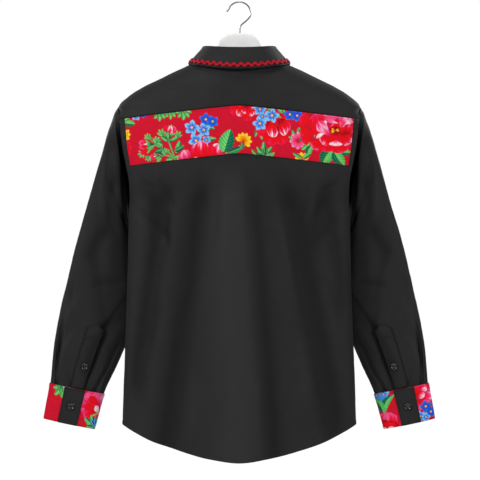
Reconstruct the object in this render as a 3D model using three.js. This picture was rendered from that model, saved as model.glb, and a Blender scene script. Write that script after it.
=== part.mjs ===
// A long-sleeved ribbon shirt on a plastic hanger, in millimetres.
// +Z is up, the front of the shirt faces -Y, its back faces +Y, and the wearer's left is +X.
// The origin is the seat of the hanger's hook, where the rail carries it.
// Each panel is a thin closed wall: its outer face is worked out from the tables below, and its inner face
// is the same face moved in along the normal.
import * as THREE from "three";

const clothWall = 1.5; // a panel with its turnings
const layerWall = 1.1; // a strip that is sewn on a panel
const seamGap = 0.4; // between two panels that meet at a seam
const layGap = 0.7; // between a panel and what is sewn on it
const half = Math.PI / 2;
const at = (x, y, z) => new THREE.Vector3(x, y, z);
const mix = (a, b, share) => a + (b - a) * share;
const clamp = (v, low, high) => Math.min(high, Math.max(low, v));
const smooth = (v) => clamp(v, 0, 1) ** 2 * (3 - 2 * clamp(v, 0, 1));
const power = (v, exponent) => Math.sign(v) * Math.abs(v) ** exponent;

// ---- materials ----
const paint = (color, roughness, metalness = 0) => new THREE.MeshStandardMaterial({ color, roughness, metalness });
const blackCotton = paint(0x2a2a2b, 0.85);
const roseCotton = paint(0xc21a32, 0.8);
const redBraid = paint(0xc8102e, 0.75);
const buttonPlastic = paint(0x1c1c1d, 0.35);
const hangerPlastic = paint(0xf0f0f0, 0.4);
const hookSteel = paint(0xb4b4b4, 0.25, 1);

const shirt = new THREE.Group();
function add(name, geometry, material) {
  const mesh = new THREE.Mesh(geometry, material);
  mesh.name = name;
  shirt.add(mesh);
}

// One column of a table as a smooth function of its key column. It never overshoots the rows, and runs on
// straight past the first and the last.
function column(table, key, name) {
  const rows = [...table].sort((a, b) => a[key] - b[key]);
  const x = rows.map((row) => row[key]);
  const y = rows.map((row) => row[name]);
  const rise = x.slice(1).map((value, i) => (y[i + 1] - y[i]) / (value - x[i]));
  const slope = x.map((_, i) => {
    if (i === 0) return rise[0];
    if (i === x.length - 1) return rise[i - 1];
    const [before, after] = [rise[i - 1], rise[i]];
    return before * after <= 0 ? 0 : (2 * before * after) / (before + after);
  });
  return (value) => {
    const last = x.length - 1;
    if (value <= x[0]) return y[0] + slope[0] * (value - x[0]);
    if (value >= x[last]) return y[last] + slope[last] * (value - x[last]);
    let i = 0;
    while (value > x[i + 1]) i++;
    const span = x[i + 1] - x[i];
    const s = (value - x[i]) / span;
    return (
      (1 + 2 * s) * (1 - s) ** 2 * y[i] +
      s * (1 - s) ** 2 * span * slope[i] +
      s * s * (3 - 2 * s) * y[i + 1] +
      s * s * (s - 1) * span * slope[i + 1]
    );
  };
}

// A closed wall between two grids of points, [row][column]. A tube's columns join up.
function wall(outer, inner, tube = false) {
  const rows = outer.length;
  const columns = outer[0].length;
  const points = [...outer.flat(), ...inner.flat()];
  const out = (r, c) => r * columns + (c % columns);
  const inn = (r, c) => rows * columns + out(r, c);
  const faces = [];
  const quad = (a, b, c, d) => faces.push(a, b, c, a, c, d);
  const across = tube ? columns : columns - 1;
  for (let r = 0; r < rows - 1; r++)
    for (let c = 0; c < across; c++) {
      quad(out(r, c), out(r, c + 1), out(r + 1, c + 1), out(r + 1, c));
      quad(inn(r, c), inn(r + 1, c), inn(r + 1, c + 1), inn(r, c + 1));
    }
  for (let c = 0; c < across; c++) {
    quad(out(0, c), inn(0, c), inn(0, c + 1), out(0, c + 1));
    quad(out(rows - 1, c), out(rows - 1, c + 1), inn(rows - 1, c + 1), inn(rows - 1, c));
  }
  if (!tube)
    for (let r = 0; r < rows - 1; r++) {
      quad(out(r, 0), out(r + 1, 0), inn(r + 1, 0), inn(r, 0));
      quad(out(r, across), inn(r, across), inn(r + 1, across), out(r + 1, across));
    }
  return solid(points, faces);
}

// Faces that all point one way, turned round if that way is inwards.
function solid(points, faces) {
  let volume = 0;
  for (let i = 0; i < faces.length; i += 3) {
    const [a, b, c] = [points[faces[i]], points[faces[i + 1]], points[faces[i + 2]]];
    volume += a.dot(b.clone().cross(c));
  }
  if (volume < 0)
    for (let i = 0; i < faces.length; i += 3) [faces[i + 1], faces[i + 2]] = [faces[i + 2], faces[i + 1]];
  const positions = new Float32Array(points.flatMap((p) => [p.x, p.y, p.z]));
  return new THREE.BufferGeometry()
    .setAttribute("position", new THREE.BufferAttribute(positions, 3))
    .setIndex(faces);
}

// A grid of { point, normal } made into a wall that lies from lift to lift + thickness above its points.
function panel(grid, thickness, lift = -thickness, tube = false) {
  const moved = (by) => grid.map((row) => row.map((s) => s.point.clone().addScaledVector(s.normal, by)));
  return wall(moved(lift + thickness), moved(lift), tube);
}
const spread = (from, to, steps) => Array.from({ length: steps + 1 }, (_, i) => mix(from, to, i / steps));
const degrees = (angle) => (angle * Math.PI) / 180;
const mirrored = (grid) =>
  grid.map((row) =>
    row.map((s) => ({ point: at(-s.point.x, s.point.y, s.point.z), normal: at(-s.normal.x, s.normal.y, s.normal.z) })),
  );

// A grid of points given its normals, which point away from the middle of the grid.
function spots(points, tube = false) {
  const lastRow = points.length - 1;
  const count = points[0].length;
  const middle = at(0, 0, 0);
  points.flat().forEach((p) => middle.addScaledVector(p, 1 / points.flat().length));
  const pick = (r, c) => points[clamp(r, 0, lastRow)][tube ? (c + count) % count : clamp(c, 0, count - 1)];
  const grid = points.map((row, r) =>
    row.map((point, c) => {
      const along = pick(r + 1, c).clone().sub(pick(r - 1, c));
      const across = pick(r, c + 1).clone().sub(pick(r, c - 1));
      return { point, normal: along.cross(across).normalize() };
    }),
  );
  const outward = grid.flat().reduce((sum, s) => sum + s.normal.dot(s.point.clone().sub(middle)), 0);
  if (outward < 0) grid.flat().forEach((s) => s.normal.negate());
  return grid;
}

// ---- the trunk of the shirt ----
// Level sections. side: half the width, up to the armhole's edge. back, front: half the depth. edge: how far
// behind and before the middle the armhole's edges lie. round: the exponent of the oval, 2 for an ellipse.
const trunkSections = [
  { z: -109, side: 72, back: 56, front: 55, edge: 0, round: 1.7 },
  { z: -121.5, side: 97.5, back: 58, front: 55, edge: 0, round: 1.62 },
  { z: -135, side: 127, back: 59, front: 55, edge: 0, round: 1.62 },
  { z: -151, side: 160, back: 60, front: 55, edge: 0, round: 1.65 },
  { z: -166, side: 190, back: 60, front: 55, edge: 0, round: 1.72 },
  { z: -182, side: 215, back: 60, front: 55, edge: 0, round: 1.8 },
  { z: -203.5, side: 235, back: 60, front: 55, edge: 0, round: 1.9 },
  { z: -220, side: 233.5, back: 60, front: 55, edge: 13, round: 2 },
  { z: -245, side: 230, back: 61, front: 56, edge: 24, round: 2.15 },
  { z: -282, side: 225.5, back: 61, front: 56, edge: 31, round: 2.3 },
  { z: -320, side: 218.5, back: 60, front: 56, edge: 32, round: 2.4 },
  { z: -352, side: 213.5, back: 60, front: 56, edge: 27, round: 2.4 },
  { z: -380, side: 213, back: 59, front: 55, edge: 14, round: 2.4 },
  { z: -405, side: 215, back: 58, front: 54, edge: 0, round: 2.4 },
  { z: -463, side: 216.5, back: 57, front: 53, edge: 0, round: 2.4 },
  { z: -550, side: 218.5, back: 56, front: 52, edge: 0, round: 2.4 },
  { z: -670, side: 222.5, back: 55, front: 51, edge: 0, round: 2.4 },
  { z: -820, side: 228, back: 54, front: 50, edge: 0, round: 2.4 },
  { z: -895, side: 230, back: 54, front: 50, edge: 0, round: 2.4 },
];
const trunk = Object.fromEntries(
  ["side", "back", "front", "edge", "round"].map((name) => [name, column(trunkSections, "z", name)]),
);
const shoulderTip = -203.5;
const armpit = -405;

// Soft folds in the hanging cloth, from their top to their end. depth: how far one stands out, or in where
// it is below 0. On the back, then on the front.
const backFolds = [
  { topX: 118, topZ: -322, endX: 186, endZ: -780, width: 24, depth: -5 },
  { topX: 68, topZ: -318, endX: 112, endZ: -860, width: 30, depth: -5.5 },
  { topX: 10, topZ: -312, endX: 4, endZ: -880, width: 42, depth: 4.5 },
  { topX: -36, topZ: -316, endX: -66, endZ: -860, width: 28, depth: -5 },
  { topX: -90, topZ: -318, endX: -150, endZ: -820, width: 30, depth: -6 },
  { topX: -150, topZ: -330, endX: -196, endZ: -660, width: 22, depth: -4 },
  { topX: 184, topZ: -322, endX: 140, endZ: -430, width: 15, depth: -3.5 },
  { topX: -184, topZ: -322, endX: -136, endZ: -440, width: 15, depth: -3.5 },
];
const frontFolds = [
  { topX: 118, topZ: -260, endX: 142, endZ: -800, width: 30, depth: -4 },
  { topX: 66, topZ: -330, endX: 84, endZ: -840, width: 30, depth: 3.5 },
  { topX: -108, topZ: -250, endX: -136, endZ: -820, width: 32, depth: -4.5 },
  { topX: -62, topZ: -360, endX: -78, endZ: -840, width: 28, depth: 3.5 },
];
const foldFade = 90;
function foldAt(folds, x, z) {
  return folds.reduce((sum, fold) => {
    const along = (z - fold.topZ) / (fold.endZ - fold.topZ);
    const middle = mix(fold.topX, fold.endX, clamp(along, 0, 1));
    const ends = smooth((fold.topZ - z) / foldFade) * smooth((z - fold.endZ + foldFade) / foldFade);
    return sum + fold.depth * ends * Math.exp(-(((x - middle) / fold.width) ** 2));
  }, 0);
}

// The outer face of the trunk. angle: 0 at the wearer's left side, a quarter turn at the centre of the back,
// half a turn at the right side, and less than 0 or more than half a turn on the front.
const depthAt = (z, behind) => (behind ? trunk.back(z) : trunk.front(z));
function widestAt(z, behind) {
  const n = trunk.round(z);
  return trunk.side(z) / (1 - clamp(trunk.edge(z) / depthAt(z, behind), 0, 1) ** n) ** (1 / n);
}
function trunkPoint(angle, z) {
  const n = trunk.round(z);
  const behind = Math.sin(angle) >= 0;
  const x = widestAt(z, behind) * power(Math.cos(angle), 2 / n);
  const fold = foldAt(behind ? backFolds : frontFolds, x, z) * Math.sin(angle);
  return at(x, depthAt(z, behind) * power(Math.sin(angle), 2 / n) + fold, z);
}
function trunkSpot(angle, z) {
  const [turn, drop] = [0.03, 1.5];
  const round = trunkPoint(angle + turn, z).sub(trunkPoint(angle - turn, z));
  const down = trunkPoint(angle, z - drop).sub(trunkPoint(angle, z + drop));
  const normal = down.cross(round).normalize();
  const point = trunkPoint(angle, z);
  if (normal.x * point.x + normal.y * point.y * 4 < 0) normal.negate();
  return { point, normal, angle, z };
}
// The angle at which the trunk's back (or front) lies at x.
function angleAt(x, z, behind) {
  const share = clamp(Math.abs(x) / widestAt(z, behind), 0, 1);
  const turn = Math.acos(share ** (trunk.round(z) / 2));
  const left = behind ? turn : -turn;
  return x >= 0 ? left : Math.PI - left;
}
// The angle of a panel's outer edge: at the armhole, or at the side seam, where the edges stop short.
function edgeAngle(z, behind) {
  const edge = Math.max(trunk.edge(z), seamGap / 2);
  const turn = Math.asin((edge / depthAt(z, behind)) ** (trunk.round(z) / 2));
  return behind ? turn : -turn;
}

// ---- where the pieces of the trunk meet ----
// A share of the armhole, from 0 at the shoulder's tip to 1 at the armpit.
const armholeZ = (share) => mix(armpit, shoulderTip, (1 + Math.cos(share * Math.PI)) / 2);
const backSeamShare = 0.229; // where the yoke's back seam meets the armhole
const frontSeamShare = 0.2; // where its front seam does
const yokeSeamRise = 25; // the back seam is this much higher at the centre back
const backTop = armholeZ(backSeamShare);
const frontTop = armholeZ(frontSeamShare);
const yokeSeamZ = (x) => backTop + yokeSeamRise * (1 - Math.sqrt((x / trunk.side(backTop)) ** 2 + 0.004));

// The neckline, by its turn round the neck: 0 at the wearer's left side, a quarter turn at the back.
const neckHalfWidth = 72;
const neckTop = -109;
const backNeckDrop = 16;
const frontNeckDrop = 82;
const neckZ = (sine) => neckTop - (sine >= 0 ? backNeckDrop * sine ** 2 : frontNeckDrop * (-sine) ** 1.6);
function neckSpot(turn) {
  const sine = Math.sin(turn);
  const z = neckZ(sine);
  return { angle: angleAt(neckHalfWidth * Math.cos(turn), z, sine >= 0), z };
}

// A point kept at least a gap away from the outer face of the trunk.
function clearOfTrunk(point, gap) {
  for (let tries = 0; tries < 4 && point.z < neckTop; tries++) {
    const n = trunk.round(point.z);
    const behind = point.y >= 0;
    const across = Math.abs(point.x / widestAt(point.z, behind)) ** (n / 2);
    const deep = Math.abs(point.y / depthAt(point.z, behind)) ** (n / 2);
    const turn = Math.atan2(behind ? deep : -deep, point.x < 0 ? -across : across);
    const { point: near, normal } = trunkSpot(turn, point.z);
    const distance = point.clone().sub(near).dot(normal);
    if (distance < gap) point.addScaledVector(normal, gap - distance);
  }
  return point;
}

// Spots on a line between two places on the trunk.
const between = (from, to, steps) =>
  spread(0, 1, steps).map((share) => trunkSpot(mix(from.angle, to.angle, share), mix(from.z, to.z, share)));

// ---- the yoke, from the neckline to the armholes and the seams below ----
const yokeRows = 6;
const bandInset = 8; // from the armhole's edge to the end of the band
const yokeFrontTurn = -0.62; // where the front seam meets the neckline
const yokeEdgeSteps = 3;
// How far out the columns of the back lie, as shares of the way to its edge: the second is the band's end.
const bandEndShare = 1 - bandInset / trunk.side(backTop);
const backShares = [1, bandEndShare, 0.91, 0.83, 0.73, 0.62, 0.5, 0.38, 0.26, 0.13, 0];
function yokeGrid() {
  const front = spread(frontSeamShare, 0, yokeEdgeSteps).map(armholeZ);
  const back = spread(0, backSeamShare, yokeEdgeSteps).slice(1).map(armholeZ);
  const outerEdge = [
    ...front.map((z) => ({ angle: edgeAngle(z, false), z })),
    ...back.map((z) => ({ angle: edgeAngle(z, true), z })),
    ...backShares.slice(1).map((share) => {
      const x = share * trunk.side(backTop);
      const z = yokeSeamZ(x) + seamGap;
      return { angle: angleAt(x, z, true), z };
    }),
  ];
  const turns = [
    ...spread(yokeFrontTurn, 0, yokeEdgeSteps),
    ...spread(0, 0.5, yokeEdgeSteps).slice(1),
    ...spread(0.5, half, backShares.length - 1).slice(1),
  ];
  const columns = outerEdge.map((edge, i) => between(neckSpot(turns[i]), edge, yokeRows));
  const left = columns[0].map((_, r) => columns.map((line) => line[r]));
  const right = mirrored(left);
  return left.map((row, r) => [...row, ...right[r].slice(0, -1).reverse()]);
}
add("yoke", panel(yokeGrid(), clothWall), blackCotton);

// ---- the back and the two fronts ----
// The hem, lowest at the centre and highest at the side seams. share: how far out, from 0 to 1.
const hemRows = [
  { share: -0.24, rise: 0.09 },
  { share: 0, rise: 0 },
  { share: 0.24, rise: 0.09 },
  { share: 0.51, rise: 0.32 },
  { share: 0.72, rise: 0.54 },
  { share: 0.87, rise: 0.77 },
  { share: 1, rise: 1 },
];
const hemRise = column(hemRows, "share", "rise");
const sideHem = -820.5;
const backHem = -891;
const frontHem = -882;
const hemZ = (out, centre) => mix(centre, sideHem, hemRise(clamp(Math.abs(out), 0, 1)));

// As far as the floral band's foot a panel's rows run along its top. Below that they turn towards the hem.
const bandShare = 0.155; // of the way down the side
const below = (share) => smooth((share - bandShare) / (1 - bandShare));

// One panel's spots, row by row, from its outer edge in. columns: how far out each one lies, and its top.
function trunkPanel(edgeRows, columns, hemCentre, behind) {
  const top = edgeRows[0];
  return edgeRows.map((edgeZ) => {
    const share = (edgeZ - top) / (sideHem - top);
    const edgeX = trunkPoint(edgeAngle(edgeZ, behind), edgeZ).x;
    return columns.map(({ out, fixed, topZ }, c) => {
      if (c === 0) return trunkSpot(edgeAngle(edgeZ, behind), edgeZ);
      const x = fixed ?? out * edgeX;
      const lower = below(share);
      const z = edgeZ + (topZ - top) * (1 - lower) + (hemZ(x / edgeX, hemCentre) - sideHem) * lower;
      return trunkSpot(angleAt(x, z, behind), z);
    });
  });
}
const bandFoot = -320; // the lower edge of the floral band, at its ends
const bandRows = 3;
const lowerArmholeRows = 6;
const sideRows = 12;
const sideEdge = spread(armpit, sideHem, sideRows).slice(1);
const backEdge = [
  ...spread(backTop - seamGap, bandFoot, bandRows),
  ...spread(bandFoot, armpit, lowerArmholeRows).slice(1),
  ...sideEdge,
];
const backLeft = trunkPanel(
  backEdge,
  backShares.map((out) => ({ out, topZ: yokeSeamZ(out * trunk.side(backTop)) })),
  backHem,
  true,
);
// The right half is worked out in its own place, because the folds differ.
const opposite = (spot) => trunkSpot(Math.PI - spot.angle, spot.z);
const backGrid = backLeft.map((row) => [...row, ...row.slice(0, -1).reverse().map(opposite)]);
add("back_panel", panel(backGrid, clothWall), blackCotton);

const frontArmholeRows = 8;
const frontEdge = [...spread(frontTop - seamGap, armpit, frontArmholeRows), ...sideEdge];
const yokeFrontSeam = between(neckSpot(yokeFrontTurn), { angle: edgeAngle(frontTop, false), z: frontTop }, 6);
const placketHalfWidth = 16;
const neckFrontZ = (x) => neckZ(-Math.sqrt(1 - (x / neckHalfWidth) ** 2)) - seamGap;
const frontEdgeX = yokeFrontSeam.at(-1).point.x;
const frontColumns = [
  ...yokeFrontSeam.toReversed().map(({ point }) => ({ out: point.x / frontEdgeX, topZ: point.z - seamGap })),
  ...[40, 24, placketHalfWidth, 0, -placketHalfWidth].map((x) => ({ fixed: x, topZ: neckFrontZ(x) })),
];
const frontSpots = trunkPanel(frontEdge, frontColumns, frontHem, false);
// The left front laps over the right one: its edge is carried out in front of it.
const overlap = clothWall + layGap;
const raised = (spot, by) => ({ ...spot, point: spot.point.clone().addScaledVector(spot.normal, by) });
const frontLeft = frontSpots.map((row) => row.map((s) => raised(s, overlap * smooth((40 - s.point.x) / 16))));
const frontRight = frontSpots.map((row) => row.map(opposite));
add("front_left", panel(frontLeft, clothWall), blackCotton);
add("front_right", panel(frontRight, clothWall), blackCotton);
const placketSpots = frontLeft.map((row) => row.slice(-3));
add("front_placket", panel(placketSpots, layerWall, layGap), blackCotton);

// The floral band across the shoulders lies on the back's own points.
const bandGrid = backGrid.slice(0, bandRows + 1).map((row) => row.slice(1, -1));
add("floral_band", panel(bandGrid, layerWall, layGap), roseCotton);

// ---- the collar ----
const standWall = 2;
const standTopHalfWidth = 69;
const standTopDepth = 0.92; // of the neckline's own depth
const standTop = -88.4;
const standFrontDrop = 72;
const standBackDrop = 6.3;
const standLap = 0.2; // how far each end runs past the centre front, as a turn
const standInset = 2.4; // the stand's foot stands this far inside the neckline
const foldRing = (turn) => {
  const sine = Math.sin(turn);
  const drop = sine < 0 ? standFrontDrop * (-sine) ** 1.6 : standBackDrop * sine ** 2;
  return at(standTopHalfWidth * Math.cos(turn), standTopDepth * neckPoint(turn).y, standTop - drop);
};
function neckPoint(turn) {
  const { angle, z } = neckSpot(turn);
  return trunkPoint(angle, z);
}
const standTurns = spread(-half - standLap, Math.PI + half + standLap, 28);
function standGrid() {
  return spread(0, 1, 2).map((share) =>
    standTurns.map((turn) => {
      const foot = neckPoint(turn).add(at(-standInset * Math.cos(turn), 0, standInset / 2));
      const lap = smooth((turn - Math.PI - half + 0.45) / 0.4) * (standWall + layGap);
      return foot.lerp(foldRing(turn), share).add(at(0, lap, 0));
    }),
  );
}
add("collar_stand", panel(spots(standGrid()), standWall), blackCotton);

// The fall's lower edge from its point, at the front, to the side; behind, it is part of an oval.
const fallEdgeRows = [
  { turn: -84, x: 49, y: -63, z: -214 },
  { turn: -64, x: 64, y: -61.5, z: -190 },
  { turn: -44, x: 79, y: -54, z: -162 },
  { turn: -22, x: 91.5, y: -33, z: -134 },
  { turn: 0, x: 98.5, y: 0, z: -121.5 },
];
const fallEdge = Object.fromEntries(["x", "y", "z"].map((name) => [name, column(fallEdgeRows, "turn", name)]));
const fallBackDepth = 70;
const fallBackDrop = 13.5;
function fallEdgePoint(turn) {
  if (Math.cos(turn) < 0) {
    const left = fallEdgePoint(Math.PI - turn);
    return at(-left.x, left.y, left.z);
  }
  const sine = Math.sin(turn);
  if (sine > 0) return at(98.5 * Math.cos(turn), fallBackDepth * sine, -121.5 - fallBackDrop * sine ** 2);
  const key = (turn * 180) / Math.PI;
  return at(fallEdge.x(key), fallEdge.y(key), fallEdge.z(key));
}
const fallWall = 2;
const fallClear = 5.5; // from the trunk to the fall's outer face
const fallFrontTurn = degrees(-84);
const fallTurns = spread(fallFrontTurn, Math.PI - fallFrontTurn, 32);
const ricracZone = 15; // the last stretch of the fall, which carries the braid
function fallColumn(turn) {
  const ring = foldRing(turn);
  const along = foldRing(turn + 0.02).sub(foldRing(turn - 0.02)).normalize();
  const out = at(along.y, -along.x, 0).normalize();
  const upward = out.clone().cross(along);
  const place = (away, up) => ring.clone().addScaledVector(out, away).addScaledVector(upward, up);
  const shoulder = place(4.4, -1);
  const edge = clearOfTrunk(fallEdgePoint(turn), fallClear);
  const zone = 1 - ricracZone / shoulder.distanceTo(edge);
  const bulge = 3;
  const fall = [0.3, zone, 1].map((share) =>
    shoulder
      .clone()
      .lerp(edge, share)
      .addScaledVector(out, bulge * 4 * share * (1 - share)),
  );
  fall.forEach((point) => clearOfTrunk(point, fallClear));
  return [place(-1.2, 2.9), place(1.6, 2.7), place(3.6, 1.2), shoulder, ...fall];
}
const fallColumns = fallTurns.map(fallColumn);
const fallGrid = spots(fallColumns[0].map((_, r) => fallColumns.map((line) => line[r])));
add("collar_fall", panel(fallGrid, fallWall), blackCotton);

// Ric-rac braid, laid along the fall's edge.
const ricracWaves = 38;
const ricracSteps = 4; // to each wave
const ricracWidth = 5;
const ricracSwing = 2.3; // each way
const ricracAbove = 7.5; // from the edge to its middle line
function onFall(columnPlace, above) {
  const c = Math.min(Math.floor(columnPlace), fallTurns.length - 2);
  const across = columnPlace - c;
  const [upper, edge] = fallGrid.slice(-2);
  const place = (row, name) => row[c][name].clone().lerp(row[c + 1][name], across);
  const up = above / place(edge, "point").distanceTo(place(upper, "point"));
  return {
    point: place(edge, "point").lerp(place(upper, "point"), up),
    normal: place(edge, "normal").lerp(place(upper, "normal"), up).normalize(),
  };
}
function ricracGrid() {
  const steps = ricracWaves * ricracSteps;
  const margin = 0.45; // columns of the fall left bare at each end
  return [-0.5, 0.5].map((side) =>
    spread(margin, fallTurns.length - 1 - margin, steps).map((place, i) => {
      const swing = ricracSwing * Math.sin((2 * Math.PI * i) / ricracSteps);
      return onFall(place, ricracAbove + swing + side * ricracWidth);
    }),
  );
}
add("ricrac_braid", panel(ricracGrid(), layerWall, 0.9), redBraid);

// ---- the sleeves ----
// Sections of the left sleeve, by the length down its outer edge. Each runs from a point on the outer edge
// to one on the inner edge, which passes in front of the trunk. thick: its depth.
const sleeveSections = [
  { down: 0, outerX: 235, outerY: 0, outerZ: -203.5, innerX: 216, innerY: 0, innerZ: -405, thick: 62 },
  { down: 14, outerX: 243.5, outerY: -2, outerZ: -214, innerX: 216.3, innerY: -9, innerZ: -412, thick: 52 },
  { down: 30, outerX: 249, outerY: -5, outerZ: -229, innerX: 215.5, innerY: -19, innerZ: -424, thick: 45 },
  { down: 46, outerX: 254.5, outerY: -8, outerZ: -244, innerX: 214.5, innerY: -28, innerZ: -436, thick: 41 },
  { down: 80, outerX: 264, outerY: -11, outerZ: -275.5, innerX: 211, innerY: -42, innerZ: -459, thick: 38 },
  { down: 113, outerX: 273, outerY: -13, outerZ: -307, innerX: 202, innerY: -52, innerZ: -482, thick: 37 },
  { down: 194, outerX: 295, outerY: -16, outerZ: -385, innerX: 173, innerY: -63, innerZ: -514, thick: 37 },
  { down: 275, outerX: 318, outerY: -18, outerZ: -463, innerX: 169, innerY: -63, innerZ: -548, thick: 37 },
  { down: 355, outerX: 337, outerY: -20, outerZ: -541, innerX: 192, innerY: -57, innerZ: -596, thick: 36 },
  { down: 435, outerX: 355, outerY: -22, outerZ: -619, innerX: 219, innerY: -49, innerZ: -658, thick: 34 },
  { down: 498, outerX: 365, outerY: -24, outerZ: -681, innerX: 242, innerY: -43, innerZ: -710, thick: 31 },
  { down: 561, outerX: 370, outerY: -26, outerZ: -743.5, innerX: 267.5, innerY: -38, innerZ: -765, thick: 25 },
  { down: 630, outerX: 382, outerY: -27, outerZ: -813.5, innerX: 287.5, innerY: -38, innerZ: -834.5, thick: 23 },
];
const sleeve = Object.fromEntries(
  Object.keys(sleeveSections[0])
    .slice(1)
    .map((name) => [name, column(sleeveSections, "down", name)]),
);
const sleeveRound = 2.2;
const sleeveEnd = 567; // just inside the cuff
const cuffTop = 561;
const cuffEnd = 630;

// Folds along a sleeve. share: where it lies round the section, from 0 at the outer edge to 1 at the inner
// edge across the back, and on to 2 across the front.
const sleeveFolds = [
  { topShare: 0.24, top: 448, endShare: 0.287, end: 640, width: 0.028, depth: -7 },
  { topShare: 0.8, top: 430, endShare: 0.66, end: 640, width: 0.045, depth: -4.5 },
  { topShare: 0.42, top: 110, endShare: 0.3, end: 330, width: 0.07, depth: -4 },
  { topShare: 0.3, top: 250, endShare: 0.6, end: 460, width: 0.06, depth: -3.5 },
  { topShare: 1.5, top: 120, endShare: 1.35, end: 420, width: 0.09, depth: -4 },
  { topShare: 1.7, top: 420, endShare: 1.6, end: 640, width: 0.06, depth: -4.5 },
];
const sleeveFoldFade = 60;
function sleeveFoldAt(share, down) {
  return sleeveFolds.reduce((sum, fold) => {
    const along = clamp((down - fold.top) / (fold.end - fold.top), 0, 1);
    const middle = mix(fold.topShare, fold.endShare, along);
    const ends = smooth((down - fold.top) / sleeveFoldFade) * smooth((fold.end - down) / sleeveFoldFade);
    return sum + fold.depth * ends * Math.exp(-(((share - middle) / fold.width) ** 2));
  }, 0);
}
function sleevePoint(share, down) {
  const value = (name) => sleeve[name](down);
  const outer = at(value("outerX"), value("outerY"), value("outerZ"));
  const inner = at(value("innerX"), value("innerY"), value("innerZ"));
  const centre = outer.clone().lerp(inner, 0.5);
  const span = outer.clone().sub(centre);
  const across = span.clone().normalize();
  const depth = at(0, 1, 0).addScaledVector(across, -across.y).normalize();
  const angle = share * Math.PI;
  const bulk = (value("thick") / 2) * power(Math.sin(angle), 2 / sleeveRound);
  const fold = sleeveFoldAt(share, down) * Math.sign(Math.sin(angle));
  return centre.addScaledVector(span, power(Math.cos(angle), 2 / sleeveRound)).addScaledVector(depth, bulk + fold);
}
// The armhole's own ring, just outside the edges of the trunk's panels.
function armholePoint(share) {
  const behind = share <= 1;
  const z = armholeZ(behind ? share : 2 - share);
  const edge = trunkPoint(edgeAngle(z, behind), z);
  const turn = share * Math.PI;
  return edge.add(at(seamGap * 2 + clothWall * Math.max(Math.abs(Math.sin(turn)), (1 - Math.cos(turn)) / 2), 0, 0));
}
// The sleeve sinks from the armhole's edge to its own depth at once, which leaves a deep crease behind.
const creaseReach = 10;
const armholeReach = 60;
function sleeveAt(share, down) {
  const point = sleevePoint(share, down);
  const ring = armholePoint(share);
  const start = sleevePoint(share, 0);
  const sunk = smooth(down / creaseReach);
  const fade = 1 - smooth(down / armholeReach);
  const y = mix(ring.y, point.y, sunk);
  return at(point.x + (ring.x - start.x) * fade, y, point.z + (ring.z - start.z) * fade);
}
const placketShares = spread(0.39, 0.592, 3).slice(1);
const sleeveBackShares = [0, 0.076, 0.153, 0.229, 0.258, 0.287, 0.32, 0.39];
const sleeveFrontShares = [1, 1.1, 1.2, 1.3, 1.4, 1.5, 1.6, 1.7, 1.8, 1.9];
const underarmSeam = 1.45;
const placketTop = 444;
const sleeveDowns = [
  ...[0, 5, 10, 18, 30, 46, 64, 86],
  ...spread(113, placketTop, 10),
  ...spread(placketTop, cuffTop, 4).slice(1),
  sleeveEnd,
];
// The seam down the back of the sleeve comes in from the armhole, then turns to meet the placket's inner edge.
const backSeams = [
  { down: 0, share: 0.47 },
  { down: 190, share: 0.49 },
  { down: 310, share: 0.65 },
  { down: placketTop, share: placketShares[2] },
  { down: sleeveEnd, share: placketShares[2] },
];
const backSeamAt = column(backSeams, "down", "share");
const seamShare = seamGap / 140; // half the width round a sleeve is about 140 mm
const upperShares = (down) => [
  ...[underarmSeam + seamShare, ...sleeveFrontShares.slice(5)],
  ...[...sleeveBackShares, ...spread(0.39, backSeamAt(down) - seamShare, 3).slice(1)].map((share) => share + 2),
];
const underShares = (down) => [
  ...spread(backSeamAt(down) + seamShare, 0.92, 4),
  ...[...sleeveFrontShares.slice(0, 5), underarmSeam - seamShare],
];
const upperColumns = upperShares(0).length;
const sleeveSpots = spots(
  sleeveDowns.map((down) => [...upperShares(down), ...underShares(down)].map((share) => sleeveAt(share % 2, down))),
  true,
);
const upperSleeve = sleeveSpots.map((row) => row.slice(0, upperColumns));
const underSleeve = sleeveSpots.map((row) => row.slice(upperColumns));

// The cuff has its own corners where the black end strip starts and stops.
const stripShares = [0.353, 0.43, 0.5, 0.584];
const cuffBackShares = [0, 0.076, 0.153, 0.24, 0.3, ...stripShares, 0.66, 0.75, 0.84, 0.92];
const cuffDowns = spread(cuffTop, cuffEnd, 2);
const cuffLift = 1.2;
const cuffWall = 2;
const cuffShares = [...cuffBackShares, ...sleeveFrontShares];
const smoothCuff = (share, down) => sleeveAt(share, down).sub(foldShift(share, down));
function foldShift(share, down) {
  return at(0, sleeveFoldAt(share, down) * Math.sign(Math.sin(share * Math.PI)), 0);
}
const cuffSpots = spots(
  cuffDowns.map((down) => cuffShares.map((share) => smoothCuff(share, down))),
  true,
);
const stripFrom = cuffBackShares.indexOf(stripShares[0]);
const stripSpots = cuffSpots.map((row) => row.slice(stripFrom, stripFrom + stripShares.length));

// The sleeve's placket, from its point down to the cuff.
const placketPeak = 11;
const placketRows = upperSleeve.slice(sleeveDowns.indexOf(placketTop), -1).map((row) => row.slice(-3));
const upTo = (spot, target, share) => ({ ...spot, point: spot.point.clone().lerp(target, share) });
placketRows[0][1] = upTo(placketRows[0][1], sleeveAt(placketShares[1], placketTop - 40), placketPeak / 40);
placketRows.push(placketRows.pop().map((spot, i) => upTo(spot, placketRows.at(-1)[i].point, 0.04)));

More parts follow.
